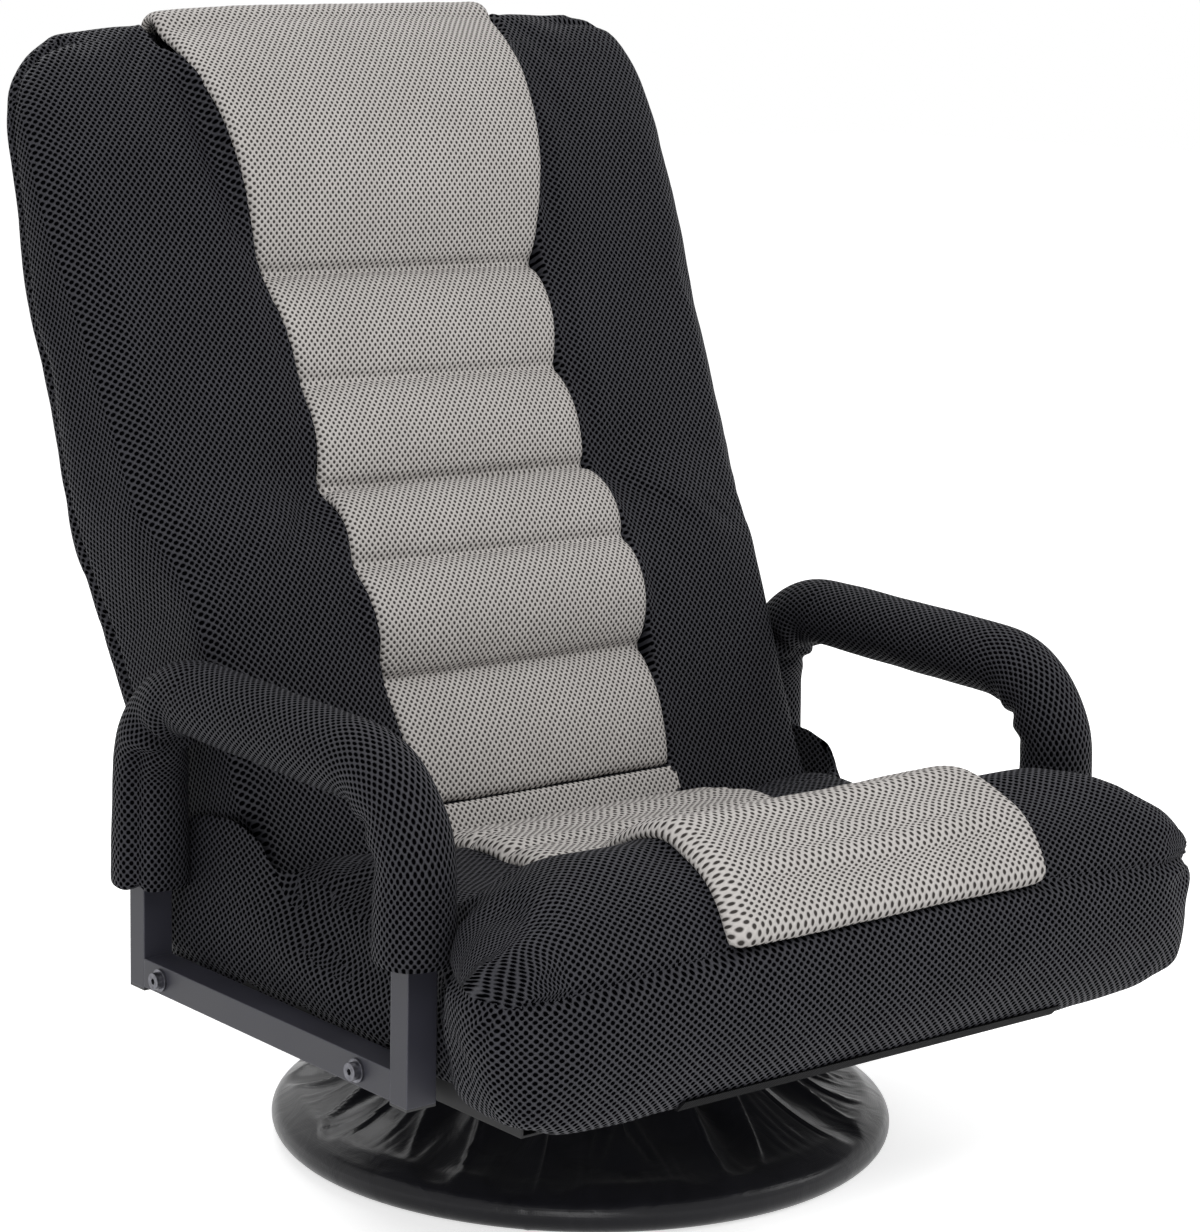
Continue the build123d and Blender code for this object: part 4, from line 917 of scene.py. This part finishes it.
# The grey panel lies in this hollow
push = -hollow * softStep(inside, -0.0015, 0.007) * frontSide * softStep(up, 0.045, 0.052)
rearUp, rearDeep = np.array(back["rear"][::-1]).T[::-1] * mm
seamGap = deep - np.interp(up, rearUp, rearDeep) + back["sideSeam"]
sideSeam = back["sideSeamDepth"] * bell(seamGap, back["sideSeamWidth"]) * softStep(up, 0.08, 0.10)
for side in (-1, 1):
    dent = np.hypot(side * x - back["dentAt"][0], up - back["dentAt"][1])
    swell = np.hypot(side * x - back["swellAt"][0], up - back["swellAt"][1])
    push -= back["dentDepth"] * bell(dent, 0.026) * frontSide  # drawn in beside the deep groove
    push += back["swell"] * bell(swell, 0.03) * frontSide
    push -= sideSeam * softStep(side * x, 0.19, 0.215)
push += 0.0010 * rumple(points, 0.06, 3) + 0.0004 * rumple(points, 0.022, 4)
writePoints(mesh, slumped(points + normals * push[:, None]))
points = readPoints(mesh)
x, up, deep = onBack(points)
faceNormals, centres = faceArrays(mesh)
profile = np.vstack([curveThrough(back["front"]), curveThrough(back["rear"])]) * mm
along = lengthAlong(np.column_stack([deep, up]), profile)
frontDeep, frontUp = np.array(back["front"][2:]).T * mm
roundSide = np.clip(deep - np.interp(up, frontUp, frontDeep) - 0.012, 0, None)
wrapped = x + np.sign(x) * roundSide * softStep(np.abs(x), 0.19, 0.215)  # round the side to its seam
charts = [np.column_stack(pair) for pair in ((wrapped, up), (deep, up), (x, up), (x, along))]
faceX, faceUp, faceDeep = onBack(centres)
behindSeam = faceDeep > np.interp(faceUp, rearUp, rearDeep) - back["sideSeam"]
behindSeam = behindSeam & (np.abs(faceNormals[:, 0]) > 0.5)
isRear = faceNormals @ behindBack > 0.6
layWeave(mesh, charts, np.select([faceUp > back["crest"], isRear, behindSeam], [3, 2, 1], 0))
dress(backCushion, [blackMesh, greyMesh], "backrest", "back_cushion")
strip = (np.abs(faceX) < back["stripHalf"]) & (faceUp < back["stripTop"]) & (faceDeep < 0.03)
mesh.polygons.foreach_set("material_index", strip.astype(np.int32))  # grey cloth runs on down to the seat
print("back cushion and panel made,", len(backCushion.data.polygons), "faces")


# Arm sleeves: padded tubes drawn over the arm loops, creased inside the bends and gathered in at their ends
sleeve = {
    "x": 255.5, "frontY": -164.6, "rearY": 110, "frontTop": 296, "rearTop": 304, "bend": 58,
    "frontEnd": 196, "rearEnd": 178, "radius": 23.2, "around": 40, "step": 4.5, "tube": (10.6, 8.6),
    "cap": 0.003, "pressure": 4.0, "fill": 0.75, "frontCrease": 0.0055, "rearCrease": 0.0100,
    "seam": 0.0024, "rearSeam": 0.0062, "rearSeamTurn": 2.15, "pitch": (4.0, 5.4), "holesAround": 36,
    # Ends turned in, from the inside: share of the way out from the tube, and drop
    "hem": ((0.0, 2.0), (0.62, 2.6), (0.86, 1.6), (0.97, -0.2)),
    "dips": ((0, 1.0, 6.5), (-19, 0.5, 6), (17, 0.55, 5.5)),  # place, share of the crease and width
    "bulges": (-9, 8), "bulgeShare": 0.4,
}
sleeveMesh = airMesh("blackSleeveAirMesh", dict(blackMeshLook, pitch=sleeve["pitch"]))


def sleevePath():
    # Centre line as (y, z, heading), front foot over the top to the rear foot,
    # and where the middle of each bend lies
    frontY, rearY = sleeve["frontY"], sleeve["rearY"]
    corners = np.array([(frontY, sleeve["frontEnd"]), (frontY, sleeve["frontTop"]),
                        (rearY, sleeve["rearTop"]), (rearY, sleeve["rearEnd"])], dtype=float)
    ways = [step / np.linalg.norm(step) for step in np.diff(corners, axis=0)]
    radius, spots, middles = sleeve["bend"], [], []
    last = corners[0]
    for i, way in enumerate(ways):
        angle = math.atan2(way[1], way[0])
        corner = corners[i + 1]
        bends = i + 1 < len(ways)
        turn = math.acos(float(way @ ways[i + 1])) if bends else 0
        cut = radius * math.tan(turn / 2)
        end = corner - way * cut
        for t in np.arange(0, np.linalg.norm(end - last), sleeve["step"]):
            spots.append((*(last + way * t), angle))
        if bends:
            centre = end + radius * np.array([math.sin(angle), -math.cos(angle)])
            count = int(radius * turn / sleeve["step"])
            middles.append(len(spots) + count // 2)
            for k in range(count):
                a = angle - turn * k / count
                spots.append((centre[0] - radius * math.sin(a), centre[1] + radius * math.cos(a), a))
            last = corner + ways[i + 1] * cut
    spots.append((*corners[3], -math.pi / 2))
    return spots, middles


def makeSleeve(name, side):
    spots, middles = sleevePath()
    count = sleeve["around"]
    angles = np.arange(count) * 2 * math.pi / count
    travelled = runLength(np.array([s[:2] for s in spots]))
    total = travelled[-1]
    rings = [(spots[0], 0.0, share, -drop) for share, drop in sleeve["hem"]]  # ends turned in round the tube
    rings += [(spot, s, 1.0, 0.0) for spot, s in zip(spots[1:-1], travelled[1:-1])]
    rings += [(spots[-1], total, share, drop) for share, drop in sleeve["hem"][::-1]]
    verts, where = [], []
    outX = np.array([side, 0, 0])
    for (cy, cz, heading), s, share, drop in rings:
        along = np.array([0, math.cos(heading), math.sin(heading)])
        out = np.array([0, -math.sin(heading), math.cos(heading)])  # away from the inside of the loop
        flare = 0.05 * math.exp(-(s / 30) ** 2) + 0.07 * math.exp(-((total - s) / 34) ** 2)
        wide = sleeve["radius"] * (1.0 + flare)
        for a in angles:
            outShare, sideShare = math.cos(a), math.sin(a)
            # Where the tube's own skin is
            edge = 1 / max(abs(outShare) / sleeve["tube"][1], abs(sideShare) / sleeve["tube"][0])
            reachOut = edge + share * (wide - edge)
            centre = np.array([side * sleeve["x"], cy, cz]) + along * drop
            verts.append((centre + out * outShare * reachOut + outX * sideShare * reachOut) * mm)
            where.append((s, a))
    faces = gridFaces(len(rings), count, closed=True)
    mesh = bpy.data.meshes.new(name)
    mesh.from_pydata([tuple(v) for v in verts], [], faces if side > 0 else [f[::-1] for f in faces])
    s, a = np.array(where).T
    writeValues(mesh, "runAt", s)
    piece = addPiece(name, mesh)
    give = softStep(s, 4, 30) * softStep(total - s, 4, 30)
    simulate(piece, give, sleeve["cap"], pressure=sleeve["pressure"])
    mesh.update()
    points = readPoints(mesh)
    normals = readNormals(mesh)
    midFront, midRear = travelled[middles[0]], travelled[middles[1]]
    inside = np.abs(turnGap(a, math.pi))
    push = np.zeros(len(points))
    for middle, depth in ((midFront, sleeve["frontCrease"]), (midRear, sleeve["rearCrease"])):
        for shift, share, width in sleeve["dips"]:
            push -= depth * share * bell(s - middle - shift * (0.4 + inside), width) * bell(inside, 1.25)
        for shift in sleeve["bulges"]:
            bulge = bell(s - middle - shift * (0.5 + inside), 6) * bell(inside, 1.3)
            push += sleeve["bulgeShare"] * depth * bulge
    onTop = softStep(s, midFront + 5, midFront + 35) * softStep(midRear - s, 10, 40)
    push -= sleeve["seam"] * bell(inside - 0.25 * np.sin(s / 37), 0.16) * onTop  # seam under the arm
    seamTurn = np.abs(turnGap(a, sleeve["rearSeamTurn"]))
    downRear = softStep(s, midRear + 8, midRear + 34)
    push -= sleeve["rearSeam"] * bell(seamTurn, 0.19) * downRear  # seam down the rear sleeve
    push += 0.0009 * rumple(points, 0.03, 5 + side)
    writePoints(mesh, points + normals * push[:, None])
    subdivideOnce(piece)
    mesh = piece.data
    points = readPoints(mesh)
    # Angle round the sleeve read back from the points, so that it stays true after the finer mesh
    lineUp = np.array([s[:2] for s in spots]) * mm
    best = np.argmin(((points[:, None, 1:3] - lineUp[None]) ** 2).sum(axis=2), axis=1)
    ways = np.array([s[2] for s in spots])[best]
    gap = points[:, 1:3] - lineUp[best]
    outAt = gap[:, 0] * -np.sin(ways) + gap[:, 1] * np.cos(ways)
    turnAt = np.arctan2(side * (points[:, 0] - side * sleeve["x"] * mm), outAt)
    around = sleeve["holesAround"] * sleeve["pitch"][0] * mm  # a whole number of holes, so that no join shows
    run = readValues(mesh, "runAt") * mm
    charts = [np.column_stack([t / (2 * math.pi) * around, run])
              for t in (turnAt, np.mod(turnAt, 2 * math.pi))]
    faceTurn = np.array([np.abs(turnAt[list(polygon.vertices)]).max() for polygon in mesh.polygons])
    layWeave(mesh, charts, (faceTurn > 2.3).astype(np.int64))
    return piece


for sideName, side in (("left", 1), ("right", -1)):
    piece = makeSleeve(f"armSleeve_{sideName}", side)
    dress(piece, [sleeveMesh], "seat", f"arm_pad_{sideName}")
print("arm sleeves made")


# Base cover: a round nylon cloth drawn in at the neck, smooth over the ring and tucked under it
cover = {
    "ring": 188.0, "ringZ": 11.5, "wrap": 11.4, "hem": 205.0, "slope": 27.0, "neck": 112.0, "neckZ": 63.7,
    "around": 440, "wrapRows": 22, "slopeRows": 34, "elastic": ((-0.6, 2.0), (-2.6, 3.2), (-5.4, 3.4)),
    "pockets": 17, "pocketDepth": 24.0, "bulge": 2.2,
    "seam": math.radians(222), "seamDepth": 0.9, "seamWidth": 1.6,
    "cap": 0.007, "steps": 14, "seed": 11, "weaveRadius": 0.18, "roundShare": 0.74,
}
draws = np.random.default_rng(cover["seed"])
slopeAngle = math.radians(cover["slope"])
profile = []
tucked = math.radians(cover["hem"]) - 2 * math.pi
for angle in np.linspace(tucked, math.pi / 2 - slopeAngle, cover["wrapRows"]):
    radius = cover["ring"] + cover["wrap"] * math.cos(angle)
    profile.append((radius, cover["ringZ"] + cover["wrap"] * math.sin(angle)))
startR, startZ = profile[-1]
for t in np.linspace(0, 1, cover["slopeRows"])[1:]:
    profile.append((startR + t * (cover["neck"] - startR), startZ + t * (cover["neckZ"] - startZ)))
for drop, inset in cover["elastic"]:  # elastic hem rolled in at the neck
    profile.append((cover["neck"] - inset, cover["neckZ"] + drop))
profile = np.array(profile)
travel = runLength(profile)
turns = np.arange(cover["around"]) * 2 * math.pi / cover["around"]
pockets = []
for i in range(cover["pockets"]):
    pockets.append({
        "turn": (i + draws.uniform(-0.22, 0.22)) * 2 * math.pi / cover["pockets"],
        "half": draws.uniform(0.14, 0.20), "tip": draws.uniform(0.0, 0.16),
        "deep": draws.uniform(0.6, 1.1), "lean": draws.uniform(-0.20, 0.20),
    })
slopeStart, slopeEnd = cover["wrapRows"] - 1, len(profile) - len(cover["elastic"]) - 1
slopeShare = np.clip((travel - travel[slopeStart]) / (travel[slopeEnd] - travel[slopeStart]), 0, 1)
seamGap = turnGap(turns, cover["seam"])
seamDip = [cover["seamDepth"] * bell(seamGap * r, cover["seamWidth"]) for r, _ in profile]
verts, free = [], []
for row, (radius, height) in enumerate(profile):
    share = slopeShare[row]
    lift = np.zeros(len(turns))
    for pocket in pockets:  # the cloth sinks between ridges, each hollow narrowing to a tip above the rim
        if share > pocket["tip"]:
            reachIn = (share - pocket["tip"]) / (1 - pocket["tip"])
            middle = pocket["turn"] + pocket["lean"] * (1 - share)
            gap = turnGap(turns, middle) / (pocket["half"] * reachIn ** 0.3)
            deep = cover["pocketDepth"] * pocket["deep"] * reachIn ** 0.7 * (1 - 0.35 * reachIn)
            lift = np.minimum(lift, -deep * np.clip(1 - gap ** 2, 0, 1) ** 0.85)
    lift += cover["bulge"] * math.sin(math.pi * share)
    if 8 < row < len(profile) - 6:
        lift -= seamDip[row]  # side seam of the cloth
    if row > slopeEnd:
        lift = lift * 0.5
    freedom = float(softStep(share, 0.06, 0.20)) * float(softStep(0.97 - share, 0, 0.12))
    for turnAt, up in zip(turns, lift):
        r = radius + up * math.sin(slopeAngle)
        spot = (r * math.cos(turnAt), r * math.sin(turnAt), height + up * math.cos(slopeAngle))
        verts.append(tuple(v * mm for v in spot))
        free.append(freedom)
mesh = bpy.data.meshes.new("baseCover")
mesh.from_pydata(verts, [], gridFaces(len(profile), len(turns), closed=True))
baseCover = addPiece("baseCover", mesh)
simulate(baseCover, np.array(free), cover["cap"], gravity=1.0, steps=cover["steps"])
aroundAt = np.tile(turns, len(profile))
rowAt = np.repeat(travel, len(turns)) * mm
charts = [np.column_stack([t * cover["weaveRadius"], rowAt])
          for t in (aroundAt, np.mod(aroundAt + math.pi, 2 * math.pi))]
column = np.arange(len(turns))
atJoin = (column >= len(turns) - 2) | (column < 2)
layWeave(mesh, charts, np.tile(atJoin, len(profile) - 1).astype(np.int64))
dress(baseCover, [coverNylon], "base", "base_cover")
